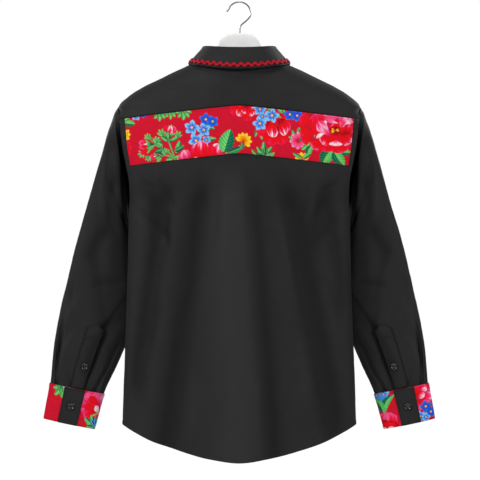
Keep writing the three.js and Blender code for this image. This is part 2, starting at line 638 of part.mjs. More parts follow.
// ---- buttons ----
const shirtButton = { radius: 5.5, thick: 2.4 };
const cuffButton = { radius: 7, thick: 2.8 };
function buttonGeometry({ radius, thick }) {
  const profile = [
    [0, 0],
    [radius * 0.8, 0],
    [radius, thick * 0.45],
    [radius * 0.9, thick],
    [radius * 0.62, thick * 0.7],
    [0, thick * 0.7],
  ].map(([r, h]) => new THREE.Vector2(r, h));
  const button = new THREE.LatheGeometry(profile, 12);
  return button.rotateX(half);
}
function addButton(name, size, { point, normal }, lift) {
  const geometry = buttonGeometry(size);
  const mesh = new THREE.Mesh(geometry, buttonPlastic);
  mesh.name = name;
  mesh.quaternion.setFromUnitVectors(at(0, 0, 1), normal);
  mesh.position.copy(point.clone().addScaledVector(normal, lift));
  shirt.add(mesh);
}
const midSpot = (a, b, share) => ({
  point: a.point.clone().lerp(b.point, share),
  normal: a.normal.clone().lerp(b.normal, share).normalize(),
});

for (const [side, flip] of [
  ["left", (grid) => grid],
  ["right", mirrored],
]) {
  add(`sleeve_${side}`, panel(flip(upperSleeve), clothWall), blackCotton);
  add(`sleeve_under_${side}`, panel(flip(underSleeve), clothWall), blackCotton);
  add(`cuff_${side}`, panel(flip(cuffSpots), cuffWall, cuffLift, true), roseCotton);
  const stripLift = cuffLift + cuffWall + layGap;
  add(`cuff_strip_${side}`, panel(flip(stripSpots), layerWall, stripLift), blackCotton);
  add(`sleeve_placket_${side}`, panel(flip(placketRows), layerWall, layGap), blackCotton);
  const [stripMiddle] = flip([[midSpot(stripSpots[1][1], stripSpots[1][2], 0.6)]])[0];
  addButton(`cuff_button_${side}`, cuffButton, stripMiddle, stripLift + layerWall + seamGap);
  const [placketMiddle] = flip([[midSpot(placketRows[2][1], placketRows[3][1], 0.25)]])[0];
  addButton(`placket_button_${side}`, cuffButton, placketMiddle, layGap + layerWall + seamGap);
}

// Buttons down the front.
const frontButtons = 7;
const firstButton = 52; // below the top of the placket
const buttonPitch = 88;
function onPlacket(drop) {
  const z = placketSpots[0][1].point.z - drop;
  const r = placketSpots.findIndex((row) => row[1].point.z < z) - 1;
  const [above, below] = [placketSpots[r][1], placketSpots[r + 1][1]];
  return midSpot(above, below, (above.point.z - z) / (above.point.z - below.point.z));
}
for (let i = 0; i < frontButtons; i++) {
  addButton(`front_button_${i + 1}`, shirtButton, onPlacket(firstButton + i * buttonPitch), layGap + layerWall + seamGap);
}

// ---- the hanger ----
const archHalfWidth = 44; // the rounded middle, seen above the collar
const archTop = -59;
const archRise = 31;
const armEnd = 205;
const armClear = 5; // below the shoulder seams
const hangerThick = 11;
const hangerRound = 2; // its rounded edges
const ridgeX = (z) => trunk.side(z);
function armTop(x) {
  let z = -112;
  while (ridgeX(z) < x) z -= 0.5;
  return z - armClear;
}
function hangerOutline() {
  const arch = spread(0.1, 1, 8).map((share) => [
    archHalfWidth * Math.sin(share * half) ** 0.87,
    archTop - archRise * (1 - Math.cos(share * half)),
  ]);
  const arms = spread(76, armEnd, 8).map((x) => [x, armTop(x)]);
  const under = spread(armEnd - 4, 60, 7).map((x) => [x, armTop(Math.max(x, 76)) - mix(26, 13, x / armEnd)]);
  const left = [...arch, [60, -104], [66, -113.5], ...arms, ...under, [24, -112], [0, -104]];
  const right = left.slice(0, -1).reverse();
  return [...left, ...right.map(([x, z]) => [-x, z])].map(([x, z]) => new THREE.Vector2(x, z));
}
const hanger = new THREE.ExtrudeGeometry(new THREE.Shape(hangerOutline()), {
  depth: hangerThick - 2 * hangerRound,
  bevelSize: hangerRound,
  bevelOffset: -hangerRound,
  bevelThickness: hangerRound,
  bevelSegments: 2,
});
hanger.rotateX(half).translate(0, hangerThick / 2 - hangerRound, 0);
add("hanger", hanger, hangerPlastic);

// The hook: a round wire bent over the rail, with its foot on the hanger. The rail bears on it at the origin.
const wire = 1.5;
const bend = 22.5; // the middle of the wire's bend
const bendCentreZ = wire - bend;
const stemX = -2;
const bendPoints = spread(degrees(13), degrees(222), 11).map((turn) =>
  at(bend * Math.cos(turn), 0, bendCentreZ + bend * Math.sin(turn)),
);
const stem = [at(stemX - 2.6, 0, -43.5), at(stemX, 0, -49), at(stemX, 0, -54), at(stemX, 0, archTop + 0.3)];
const hookPath = new THREE.CatmullRomCurve3([...bendPoints, ...stem], false, "centripetal");
const wireSection = new THREE.Shape(
  spread(0, 2 * Math.PI, 10)
    .slice(1)
    .map((turn) => new THREE.Vector2(wire * Math.cos(turn), wire * Math.sin(turn))),
);
const hook = new THREE.ExtrudeGeometry(wireSection, { steps: 40, extrudePath: hookPath });
add("hook", hook, hookSteel);

export default shirt;
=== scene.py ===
import math

import bpy
import numpy as np
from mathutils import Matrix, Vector


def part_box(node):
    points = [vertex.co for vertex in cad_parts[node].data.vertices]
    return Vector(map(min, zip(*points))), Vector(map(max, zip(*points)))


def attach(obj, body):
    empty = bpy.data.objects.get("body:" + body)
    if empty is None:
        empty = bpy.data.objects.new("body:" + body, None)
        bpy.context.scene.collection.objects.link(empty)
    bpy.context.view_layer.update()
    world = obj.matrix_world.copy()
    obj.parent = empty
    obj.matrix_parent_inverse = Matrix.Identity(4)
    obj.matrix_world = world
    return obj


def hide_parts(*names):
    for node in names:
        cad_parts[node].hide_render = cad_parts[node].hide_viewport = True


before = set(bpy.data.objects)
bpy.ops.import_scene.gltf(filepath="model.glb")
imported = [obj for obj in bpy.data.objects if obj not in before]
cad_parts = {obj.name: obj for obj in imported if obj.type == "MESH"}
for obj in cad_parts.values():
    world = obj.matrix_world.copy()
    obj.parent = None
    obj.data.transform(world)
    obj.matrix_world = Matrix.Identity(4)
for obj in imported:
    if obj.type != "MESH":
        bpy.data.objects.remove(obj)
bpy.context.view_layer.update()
print("stage: frame loaded")

# The shirt's own numbers are in millimetres, +Z up, its back towards +Y, from the seat of the hook.
# Meshes are made in metres.
unit = 0.001
fabric = {
    "wall": 1.5,  # of the single cloth
    "layerWall": 1.1,  # of what is sewn on it
    "seamGap": 0.4,
    "layGap": 0.7,
    "edgeShade": 0.9,  # painted shade: how much darker the cloth is coloured along its edges
    "edgeReach": 1.6,
    "foldFade": 90,  # over which a fold's ends die out
    "foldFull": 7,  # how deep a fold is where its painted shade is darkest
    "deeper": 0.7,  # of each main fold's own depth, added to it
}
half = math.pi / 2


def mix(a, b, share):
    return a + (b - a) * share


def smooth(v):
    c = np.clip(v, 0, 1)
    return c * c * (3 - 2 * c)


def bell(v, width):
    return np.exp(-((v / width) ** 2))


def power(v, exponent):
    return np.sign(v) * np.abs(v) ** exponent


def hermite(s, span, start, startSlope, end, endSlope):
    return (
        (1 + 2 * s) * (1 - s) ** 2 * start
        + s * (1 - s) ** 2 * span * startSlope
        + s * s * (3 - 2 * s) * end
        + s * s * (s - 1) * span * endSlope
    )


# A column of a table as a smooth function of its first column, straight on past its ends.
def column(rows, name=None):
    at = rows[0].index(name) if name else 1
    x, y = np.array([(row[0], row[at]) for row in sorted(rows[1:])], float).T
    rise = np.diff(y) / np.diff(x)
    slope = np.concatenate([rise[:1], rise[1:] * 0, rise[-1:]])
    before, after = rise[:-1], rise[1:]
    same = before * after > 0
    slope[1:-1][same] = 2 * before[same] * after[same] / (before[same] + after[same])

    def value(v):
        v = np.asarray(v, float)
        i = np.clip(np.searchsorted(x, v) - 1, 0, len(x) - 2)
        span = x[i + 1] - x[i]
        inside = hermite(np.clip((v - x[i]) / span, 0, 1), span, y[i], slope[i], y[i + 1], slope[i + 1])
        return inside + slope[0] * np.minimum(v - x[0], 0) + slope[-1] * np.maximum(v - x[-1], 0)

    return value


def columns(rows):
    return {name: column(rows, name) for name in rows[0][1:]}


# The trunk, by height: half its width, its depth behind and in front, how far from the middle its side
# edges lie in the armhole, and how square its section is.
trunk = columns(
    [
        ("z", "side", "back", "front", "edge", "round"), (-109, 72, 56, 55, 0, 1.7),
        (-121.5, 97.5, 58, 55, 0, 1.62), (-135, 127, 59, 55, 0, 1.62), (-151, 160, 60, 55, 0, 1.65),
        (-166, 190, 60, 55, 0, 1.72), (-182, 215, 60, 55, 0, 1.8), (-203.5, 235, 60, 55, 0, 1.9),
        (-220, 233.5, 60, 55, 13, 2), (-245, 230, 61, 56, 24, 2.15), (-282, 225.5, 61, 56, 31, 2.3),
        (-320, 218.5, 60, 56, 32, 2.4), (-352, 213.5, 60, 56, 27, 2.4), (-380, 213, 59, 55, 14, 2.4),
        (-405, 215, 58, 54, 0, 2.4), (-463, 216.5, 57, 53, 0, 2.4), (-550, 218.5, 56, 52, 0, 2.4),
        (-670, 222.5, 55, 51, 0, 2.4), (-820, 228, 54, 50, 0, 2.4), (-895, 230, 54, 50, 0, 2.4),
    ]
)
body = {
    "shoulderTip": -203.5,
    "armpit": -405,
    "backSeam": 0.229,  # how far down the armhole the yoke's seams end
    "frontSeam": 0.2,
    "seamRise": 25,
    "neckHalfWidth": 72,
    "neckTop": -109,
    "backNeckDrop": 16,
    "frontNeckDrop": 82,
    "sideHem": -820.5,
    "backHem": -891,
    "frontHem": -882,
    "hemStitch": 6.5,
}

# Folds: where each starts and ends (x, z), how wide it is and how far it stands out, or in below 0.
backFolds = [
    (134, -322, 196, -720, 20, -5.5), (64, -318, 138, -860, 24, -6), (10, -312, 4, -880, 44, 4.5),
    (-24, -316, -66, -860, 22, -5), (-84, -318, -178, -800, 24, -6.5), (-150, -330, -206, -560, 20, -4),
    (190, -322, 150, -430, 15, -3.5), (-188, -322, -146, -440, 15, -3.5),
]
frontFolds = [
    (118, -260, 142, -800, 30, -4), (66, -330, 84, -840, 30, 3.5), (-108, -250, -136, -820, 32, -4.5),
    (-62, -360, -78, -840, 28, 3.5),
]


def foldAt(folds, x, z):
    total = np.zeros(np.broadcast(x, z).shape)
    for topX, topZ, endX, endZ, width, depth in folds:
        along = np.clip((z - topZ) / (endZ - topZ), 0, 1)
        fade = fabric["foldFade"]
        ends = smooth((topZ - z) / fade) * smooth((z - endZ + fade) / fade)
        total += depth * ends * bell(x - mix(topX, endX, along), width)
    return total


def depthAt(z, behind):
    return np.where(behind, trunk["back"](z), trunk["front"](z))


def widestAt(z, behind):
    n = trunk["round"](z)
    edge = np.clip(trunk["edge"](z) / depthAt(z, behind), 0, 1)
    return trunk["side"](z) / (1 - edge**n) ** (1 / n)


def trunkPoint(angle, z):
    angle, z = np.broadcast_arrays(np.asarray(angle, float), np.asarray(z, float))
    n = trunk["round"](z)
    sine = np.sin(angle)
    sine = np.where(np.abs(sine) < 1e-9, 0, sine)
    behind = sine >= 0
    x = widestAt(z, behind) * power(np.cos(angle), 2 / n)
    fold = np.where(behind, foldAt(backFolds, x, z), foldAt(frontFolds, x, z)) * sine
    return np.stack([x, depthAt(z, behind) * power(sine, 2 / n) + fold, z], -1)


def unitVectors(v):
    return v / np.maximum(np.linalg.norm(v, axis=-1, keepdims=True), 1e-12)


def trunkNormal(angle, z):
    turn, drop = 0.03, 1.5
    across = trunkPoint(angle + turn, z) - trunkPoint(angle - turn, z)
    down = trunkPoint(angle, z - drop) - trunkPoint(angle, z + drop)
    normal = unitVectors(np.cross(down, across))
    point = trunkPoint(angle, z)
    facing = normal[..., 0] * point[..., 0] + normal[..., 1] * point[..., 1] * 4
    return np.where((facing < 0)[..., None], -normal, normal)


def angleAt(x, z, behind):
    share = np.clip(np.abs(x) / widestAt(z, behind), 0, 1)
    turn = np.arccos(share ** (trunk["round"](z) / 2))
    left = np.where(behind, turn, -turn)
    return np.where(x >= 0, left, math.pi - left)


def edgeAngle(z, behind):
    edge = np.maximum(trunk["edge"](z), fabric["seamGap"] / 2)
    turn = np.arcsin((edge / depthAt(z, behind)) ** (trunk["round"](z) / 2))
    return np.where(behind, turn, -turn)


def armholeZ(share):
    return mix(body["armpit"], body["shoulderTip"], (1 + np.cos(np.asarray(share, float) * math.pi)) / 2)


backTop = float(armholeZ(body["backSeam"]))
frontTop = float(armholeZ(body["frontSeam"]))
backTopSide = float(trunk["side"](backTop))


def yokeSeamZ(x):
    return backTop + body["seamRise"] * (1 - np.sqrt((x / backTopSide) ** 2 + 0.004))


def neckZ(sine):
    front = body["frontNeckDrop"] * np.maximum(-sine, 0) ** 1.6
    return body["neckTop"] - np.where(sine >= 0, body["backNeckDrop"] * sine**2, front)


def neckSpot(turn):
    sine = np.sin(turn)
    z = neckZ(sine)
    return angleAt(body["neckHalfWidth"] * np.cos(turn), z, sine >= 0), z


def neckPoint(turn):
    return trunkPoint(*neckSpot(turn))


def clearOfTrunk(point, gap):
    point = np.array(point, float)
    for _ in range(4):
        z = np.minimum(point[..., 2], body["neckTop"])
        n = trunk["round"](z)
        behind = point[..., 1] >= 0
        across = np.abs(point[..., 0] / widestAt(z, behind)) ** (n / 2)
        deep = np.abs(point[..., 1] / depthAt(z, behind)) ** (n / 2)
        turn = np.arctan2(np.where(behind, deep, -deep), np.where(point[..., 0] < 0, -across, across))
        normal = trunkNormal(turn, z)
        distance = ((point - trunkPoint(turn, z)) * normal).sum(-1)
        push = np.where((distance < gap) & (point[..., 2] < body["neckTop"]), gap - distance, 0)
        point = point + normal * push[..., None]
    return point


# Meshes made from grids of points.
def gridNormals(points, tube=False):
    if tube:
        wide = np.concatenate([points[:, -1:], points, points[:, :1]], 1)
        across = (wide[:, 2:] - wide[:, :-2]) / 2
    else:
        across = np.gradient(points, axis=1)
    normal = unitVectors(np.cross(np.gradient(points, axis=0), across))
    outward = ((points - points.reshape(-1, 3).mean(0)) * normal).sum()
    return normal if outward > 0 else -normal


def lengths(points, axis):
    step = np.linalg.norm(np.diff(points, axis=axis), axis=-1)
    start = np.zeros_like(np.take(step, [0], axis))
    return np.concatenate([start, np.cumsum(step, axis)], axis)


def makeMesh(name, points, faces, cornerUv=None):
    mesh = bpy.data.meshes.new(name)
    mesh.from_pydata((np.asarray(points) * unit).tolist(), [], faces)
    mesh.polygons.foreach_set("use_smooth", np.ones(len(mesh.polygons), bool))
    if cornerUv is not None:
        layer = mesh.uv_layers.new(name="UVMap")
        layer.data.foreach_set("uv", (np.asarray(cornerUv) * unit).ravel())
    obj = bpy.data.objects.new(name, mesh)
    bpy.context.collection.objects.link(obj)
    return obj


outerFaces = {}
underside = np.array([0.30, 0.09, 0.10])


def shell(
    name, points, normals, thickness,
    lift=None, tube=False, relief=0, stride=4, colours=None, fade=None, dark=0,
):
    # A closed wall of cloth. Its inner face has every stride-th row and column of its outer face.
    # fade: painted shade and light, from -1 deep in a fold to 1 on a ridge: colour that stands in for the
    # shade in folds and the light on ridges.
    # dark: painted shadow, 1 where no light reaches the cloth.
    lift = -thickness if lift is None else lift
    rows, cols = points.shape[:2]
    relief = np.broadcast_to(np.asarray(relief, float), (rows, cols))[..., None]
    outer = points + normals * (lift + thickness + relief)
    inner = (points + normals * (lift + relief))[::stride, ::stride]
    outerFaces[name] = outer, normals
    innerRows, innerCols = inner.shape[:2]
    across = cols if tube else cols - 1
    innerAcross = innerCols if tube else innerCols - 1
    r, c = np.meshgrid(np.arange(rows - 1), np.arange(across), indexing="ij")
    r, c = r.ravel(), c.ravel()

    def out(r, c):
        return r * cols + c % cols

    def inn(r, c):
        return rows * cols + r * innerCols + c % innerCols

    faces = np.stack([out(r, c), out(r, c + 1), out(r + 1, c + 1), out(r + 1, c)], -1).tolist()
    u, v = lengths(points, 1), lengths(points, 0)
    if tube:
        closing = np.linalg.norm(points[:, :1] - points[:, -1:], axis=-1)
        u = np.concatenate([u, u[:, -1:] + closing], 1)
        v = np.concatenate([v, v[:, :1]], 1)
    u = u - u[:, [u.shape[1] // 2]]
    uv = np.stack([u, -v], -1)
    corner = np.stack([uv[r, c], uv[r, c + 1], uv[r + 1, c + 1], uv[r + 1, c]], 1).reshape(-1, 2)
    r, c = np.meshgrid(np.arange(innerRows - 1), np.arange(innerAcross), indexing="ij")
    r, c = r.ravel(), c.ravel()
    faces += np.stack([inn(r, c), inn(r + 1, c), inn(r + 1, c + 1), inn(r, c + 1)], -1).tolist()
    big = np.stack([uv[r * stride, c * stride]] * 4, 1)
    big[:, 1] = uv[(r + 1) * stride, c * stride]
    big[:, 2] = uv[(r + 1) * stride, np.minimum((c + 1) * stride, uv.shape[1] - 1)]
    big[:, 3] = uv[r * stride, np.minimum((c + 1) * stride, uv.shape[1] - 1)]
    corners = [corner, big.reshape(-1, 2)]
    # The rims: one face along each inner edge.
    for r, sign in ((0, 1), (rows - 1, -1)):
        for k in range(innerAcross):
            far = min((k + 1) * stride, across)
            line = [out(r, q) for q in range(k * stride, far + 1)]
            face = [inn(r // stride, k), inn(r // stride, k + 1)] + line[::-1]
            faces.append(face[::sign])
            corners.append(np.tile(uv[r, k * stride], (len(face), 1)))
    if not tube:
        for c, sign in ((0, -1), (cols - 1, 1)):
            for k in range(innerRows - 1):
                line = [out(q, c) for q in range(k * stride, (k + 1) * stride + 1)]
                face = [inn(k, c // stride), inn(k + 1, c // stride)] + line[::-1]
                faces.append(face[::sign])
                corners.append(np.tile(uv[k * stride, c], (len(face), 1)))
    allPoints = np.concatenate([outer.reshape(-1, 3), inner.reshape(-1, 3)])
    obj = makeMesh(name, allPoints, faces, np.concatenate(corners))
    # Faces turned outward.
    first = np.array(faces[: (rows - 1) * across])
    a, b, d = (outer.reshape(-1, 3)[first[:, k]] for k in (0, 1, 3))
    if (np.cross(b - a, d - a) * normals[:-1, :across].reshape(-1, 3)).sum() < 0:
        obj.data.flip_normals()
    # Painted shade and light: darker in the cloth's hollows and along its edges, lighter on its ridges, less
    # the painted shadow dark; kept in the fade attribute.
    paintedShade = relief[..., 0] / 3 if fade is None else np.asarray(fade)
    edges = [lengths(points, 0), lengths(points[::-1], 0)[::-1]]
    if not tube:
        edges += [lengths(points, 1), lengths(points[:, ::-1], 1)[:, ::-1]]
    shaded = fabric["edgeShade"] * bell(np.minimum.reduce(edges), fabric["edgeReach"])
    paintedShade = np.clip(paintedShade - shaded, -1.15, 1)
    paintedShade = (paintedShade - dark).ravel()
    paintedShade = np.concatenate([paintedShade, np.zeros(innerRows * innerCols)])
    obj.data.attributes.new("fade", "FLOAT", "POINT").data.foreach_set("value", paintedShade)
    if colours is not None:
        inside = np.tile(underside, (innerRows * innerCols, 1))
        everywhere = np.concatenate([colours.reshape(-1, 3), inside])
        rgba = np.concatenate([everywhere, np.ones((len(everywhere), 1))], 1)
        layer = obj.data.color_attributes.new("print", "FLOAT_COLOR", "POINT")
        layer.data.foreach_set("color", rgba.ravel())
    return obj


# The small unevenness of washed cotton.
# Smooth value noise of about -1 to 1, from a table of random numbers.
def roughness(x, y, size, seed):
    table = np.random.default_rng(seed).uniform(-1, 1, (64, 64))
    x, y = np.asarray(x, float) / size, np.asarray(y, float) / size
    i, j = np.floor(x).astype(int), np.floor(y).astype(int)
    s, t = smooth(x - i), smooth(y - j)
    corner = [table[(i + a) % 64, (j + b) % 64] for a, b in ((0, 0), (1, 0), (0, 1), (1, 1))]
    return mix(mix(corner[0], corner[1], s), mix(corner[2], corner[3], s), t)


# Short soft wrinkles. rows: from x, z to x, z, then width and depth.
def creases(x, z, rows):
    total = np.zeros(np.broadcast(x, z).shape)
    for x0, z0, x1, z1, width, depth in rows:
        dx, dz = x1 - x0, z1 - z0
        length = math.hypot(dx, dz)
        along = ((x - x0) * dx + (z - z0) * dz) / length
        away = ((x - x0) * dz - (z - z0) * dx) / length
        bend = away - 0.05 * length * np.sin(math.pi * np.clip(along / length, 0, 1))
        ends = smooth(along / (0.35 * length)) * smooth((length - along) / (0.45 * length))
        total += depth * ends * bell(bend, width)
    return total


# The small ripples that a stitched seam draws into the cloth beside it.
def pucker(along, away, reach, seed, depth=0.35, pitch=14):
    wave = roughness(along, along * 0, pitch * 0.5, seed)
    return depth * wave * bell(away, reach)


# The back and the two fronts.
hemRise = column(
    [("share", "rise"), (-0.24, 0.09), (0, 0), (0.24, 0.09), (0.51, 0.32), (0.72, 0.54), (0.87, 0.77), (1, 1)]
)


band = {
    "foot": -320,
    "share": 0.155,  # of the way down the back, along which rows run with its seam
    "inset": 8,
}


def hemZ(out, centre):
    return mix(centre, body["sideHem"], hemRise(np.clip(np.abs(out), 0, 1)))


def below(share):
    # How far a row is on its way from the yoke's seam, which it runs along at first, to the hem.
    return smooth((share - band["share"]) / (1 - band["share"]))


# The angle and height of each point of a trunk's panel. out and fixed: one of them gives each column's place.
def panelPlaces(edgeRows, out, fixed, topZ, hemCentre, behind):
    top = edgeRows[0]
    edgeZ = edgeRows[:, None]
    share = (edgeZ - top) / (body["sideHem"] - top)
    edgeX = trunkPoint(edgeAngle(edgeZ, behind), edgeZ)[..., 0]
    x = np.where(np.isnan(fixed), out * edgeX, fixed)
    hemFall = hemZ(x / edgeX, hemCentre) - body["sideHem"]
    z = edgeZ + (topZ - top) * (1 - below(share)) + hemFall * below(share)
    angle = angleAt(x, z, behind)
    edge = np.broadcast_to(np.abs(out) > 0.99999, angle.shape)
    edgeTurn = edgeAngle(edgeZ, behind)
    z = np.where(edge, edgeZ, z)
    return np.where(edge, np.where(out > 0, edgeTurn, math.pi - edgeTurn), angle), z


def rowsDown(top, count, hemCount):
    plain = mix(top, body["sideHem"] + 12, np.linspace(0, 1, count))
    return np.concatenate([plain, np.linspace(body["sideHem"] + 12, body["sideHem"], hemCount + 1)[1:]])


backWrinkles = [
    (205, -395, 120, -500, 9, -2.2), (-206, -392, -128, -486, 8, -1.9), (196, -350, 150, -372, 5, -1.4),
    (-198, -344, -150, -372, 5, -1.6), (160, -335, 122, -420, 7, -1.5), (-128, -335, -118, -452, 7, -1.6),
    (40, -330, 52, -520, 9, -1.5), (-8, -325, -14, -470, 8, -1.3), (94, -430, 128, -640, 10, 1.6),
    (-62, -380, -96, -600, 10, 1.7), (150, -560, 196, -700, 11, -1.6), (-150, -520, -204, -640, 10, -1.7),
    (30, -640, 40, -850, 14, -1.4), (-110, -640, -120, -820, 12, 1.3), (-30, -700, -26, -866, 13, 1.1),
    (80, -720, 96, -860, 12, 1.4),
]
frontWrinkles = [
    (200, -392, 118, -480, 8, -2), (-202, -396, -112, -492, 9, -2.1), (150, -250, 120, -380, 9, -1.5),
    (-140, -240, -118, -360, 9, -1.4), (90, -470, 102, -690, 11, -1.5), (-94, -520, -110, -760, 12, 1.5),
    (46, -560, 54, -800, 10, -1.2), (-44, -400, -50, -600, 9, -1.2), (170, -520, 190, -700, 12, -1.6),
    (-172, -560, -196, -740, 11, -1.5),
]


def backRelief(points):
    x, z = points[..., 0], points[..., 2]
    edge = trunk["side"](z) - np.abs(x)
    hem = hemZ(x / np.maximum(trunk["side"](z), 1), body["backHem"])
    seam = yokeSeamZ(x)
    relief = creases(x, z, backWrinkles) * 1.4 + fabric["deeper"] * foldAt(backFolds, x, z)
    relief += 0.7 * roughness(x, z * 0.55, 34, 3) + 0.22 * roughness(x, z, 11, 4)
    relief *= smooth(edge / 25) * 0.8 + 0.2
    relief += pucker(z, edge - 7, 8, 8, 0.7, 9) * smooth((z + 470) / 60)
    relief += 0.45 * smooth((hem + body["hemStitch"] - z) / 1.2)
    relief += pucker(x, z - hem - body["hemStitch"], 7, 5, 0.5)
    relief += pucker(x, z - seam + 94, 9, 6, 0.5) * (z < seam - 92)
    return relief


backEven = np.linspace(1, -1, 241)
backOut = mix(backEven, np.sin(backEven * half), 0.55)
backRows = rowsDown(backTop - fabric["seamGap"], 171, 10)
none = np.full(backOut.shape, np.nan)
backPlaces = panelPlaces(backRows, backOut, none, yokeSeamZ(backOut * backTopSide), body["backHem"], True)
backPoints = trunkPoint(*backPlaces)
backNormals = gridNormals(backPoints)
backDeep = backRelief(backPoints)
# Painted shade: the back darker in its folds' troughs and lighter on their ridges.
backFoldShade = (backDeep + foldAt(backFolds, backPoints[..., 0], backPoints[..., 2])) / fabric["foldFull"]
backPiece = shell("backPanel", backPoints, backNormals, fabric["wall"], relief=backDeep, fade=backFoldShade)
print("stage: back")

placketHalfWidth = 16
yokeFrontTurn = -0.62
overlap = fabric["wall"] + fabric["layGap"]


def neckFrontZ(x):
    return neckZ(-np.sqrt(1 - (x / body["neckHalfWidth"]) ** 2)) - fabric["seamGap"]


def between(start, end, steps):
    share = np.linspace(0, 1, steps)
    return mix(start[0], end[0], share), mix(start[1], end[1], share)


seamLine = trunkPoint(*between(neckSpot(yokeFrontTurn), (edgeAngle(frontTop, False), frontTop), 95))[::-1]
frontX = np.concatenate([seamLine[:, 0], np.linspace(seamLine[-1, 0], -placketHalfWidth, 51)[1:]])
frontTopZ = np.concatenate([seamLine[:, 2] - fabric["seamGap"], neckFrontZ(frontX[95:])])
ownColumns = np.arange(len(frontX)) >= 95
ownFixed = np.where(ownColumns, frontX, np.nan)
ownOut = np.where(ownColumns, 0, frontX / frontX[0])
frontRows = rowsDown(frontTop - fabric["seamGap"], 179, 10)
frontAngle, frontZ = panelPlaces(frontRows, ownOut, ownFixed, frontTopZ, body["frontHem"], False)


def frontRelief(points):
    x, z = points[..., 0], points[..., 2]
    hem = hemZ(x / np.maximum(trunk["side"](z), 1), body["frontHem"])
    relief = creases(x, z, frontWrinkles) * 1.4 + fabric["deeper"] * foldAt(frontFolds, x, z)
    relief += 0.7 * roughness(x + 300, z * 0.55, 34, 13) + 0.22 * roughness(x + 300, z, 11, 14)
    relief *= smooth((np.abs(x) - 20) / 30) * 0.85 + 0.15
    relief += 0.45 * smooth((hem + body["hemStitch"] - z) / 1.2)
    return relief + pucker(x, z - hem - body["hemStitch"], 7, 15, 0.5)


leftPoints = trunkPoint(frontAngle, frontZ)
leftLift = overlap * smooth((40 - leftPoints[..., 0]) / 16)
leftPoints = leftPoints + gridNormals(leftPoints) * leftLift[..., None]
leftNormals = gridNormals(leftPoints)
rightPoints = trunkPoint(math.pi - frontAngle, frontZ)
rightNormals = gridNormals(rightPoints)


def frontShell(name, points, normals):
    deep = frontRelief(points)
    # Painted shade: darker in the folds' troughs and lighter on their ridges.
    fade = (deep + foldAt(frontFolds, points[..., 0], points[..., 2])) / fabric["foldFull"]
    return shell(name, points, normals, fabric["wall"], relief=deep, fade=fade)


frontLeft = frontShell("frontLeft", leftPoints, leftNormals)
frontRight = frontShell("frontRight", rightPoints, rightNormals)
placketCols = leftPoints[0, :, 0] <= placketHalfWidth + 0.01
placketPoints, placketNormals = leftPoints[:, placketCols], leftNormals[:, placketCols]
placketRelief = frontRelief(placketPoints)
placketRelief = placketRelief + 0.12 * roughness(placketPoints[..., 0], placketPoints[..., 2], 9, 16)
frontPlacket = shell(
    "frontPlacket",
    placketPoints,
    placketNormals,
    fabric["layerWall"],
    fabric["layGap"],
    relief=placketRelief,
    stride=1,
)
print("stage: fronts")


# The yoke, from the front seams over the shoulders to the seam across the back.
def yokePlaces(steps):
    front = armholeZ(np.linspace(body["frontSeam"], 0, steps * 3 + 1))
    back = armholeZ(np.linspace(0, body["backSeam"], steps * 3 + 1))[1:]
    x = np.linspace(1, 0, steps * 10 + 1)[1:] * backTopSide
    z = yokeSeamZ(x) + fabric["seamGap"]
    edgeTurn = np.concatenate([edgeAngle(front, False), edgeAngle(back, True), angleAt(x, z, True)])
    edgeHeight = np.concatenate([front, back, z])
    turns = np.concatenate(
        [
            np.linspace(yokeFrontTurn, 0, steps * 3 + 1),
            np.linspace(0, 0.5, steps * 3 + 1)[1:],
            np.linspace(0.5, half, steps * 10 + 1)[1:],
        ]
    )
    neckTurn, neckHeight = neckSpot(turns)
    share = np.linspace(0, 1, 73)[:, None]
    return mix(neckTurn, edgeTurn, share), mix(neckHeight, edgeHeight, share)


yokeTurn, yokeHeight = yokePlaces(10)
yokeTurn = np.concatenate([yokeTurn, math.pi - yokeTurn[:, -2::-1]], 1)
yokeHeight = np.concatenate([yokeHeight, yokeHeight[:, -2::-1]], 1)
yokePoints = trunkPoint(yokeTurn, yokeHeight)
yokeNormals = gridNormals(yokePoints)


def yokeRelief(points):
    x, y, z = points[..., 0], points[..., 1], points[..., 2]
    relief = 0.35 * roughness(x, y + z, 30, 23) + 0.18 * roughness(x, y - z, 10, 24)
    relief += creases(x, z, [(150, -170, 60, -176, 7, -0.9), (-156, -176, -70, -184, 7, -0.8)]) * (y > 0)
    return relief


yokePiece = shell("shoulderYoke", yokePoints, yokeNormals, fabric["wall"], relief=yokeRelief(yokePoints))
print("stage: yoke")

# The collar: a stand, and the fall folded over it.


collar = {
    "standWall": 2,
    "halfWidth": 69,
    "depth": 0.92,
    "top": -88.4,
    "frontDrop": 72,
    "backDrop": 6.3,
    "lap": 0.2,
    "inset": 2.4,
    "fallWall": 2,
    "fallClear": 3.6,
    "fallDepth": 70,
    "fallDrop": 13.5,
    "sideEdge": -121.5,
    "stitch": 5.5,
}
ricrac = {
    "waves": 38,
    "width": 6.5,
    "swing": 2.15,
    "above": 7.5,
    "margin": 0.45 / 32,  # share of the edge left bare at each end
    "zone": 15,  # of the fall, where its rows lie evenly
}


def foldRing(turn):
    sine = np.sin(turn)
    drop = np.where(sine < 0, collar["frontDrop"] * np.maximum(-sine, 0) ** 1.6, collar["backDrop"] * sine**2)
    y = collar["depth"] * neckPoint(turn)[..., 1]
    return np.stack([collar["halfWidth"] * np.cos(turn), y, collar["top"] - drop], -1)


standTurns = np.linspace(-half - collar["lap"], math.pi + half + collar["lap"], 281)
standFoot = neckPoint(standTurns)
standFoot[:, 0] -= collar["inset"] * np.cos(standTurns)
standFoot[:, 2] += collar["inset"] / 2
standShare = np.linspace(0, 1, 25)[:, None, None]
standPoints = mix(standFoot, foldRing(standTurns), standShare)
standOver = collar["standWall"] + fabric["layGap"]
standPoints[..., 1] += smooth((standTurns - math.pi - half + 0.45) / 0.4) * standOver
standNormals = gridNormals(standPoints)
standRelief = 0.15 * roughness(standPoints[..., 0], standPoints[..., 1] + standPoints[..., 2], 16, 31)
collarStand = shell("collarStand", standPoints, standNormals, collar["standWall"], relief=standRelief)

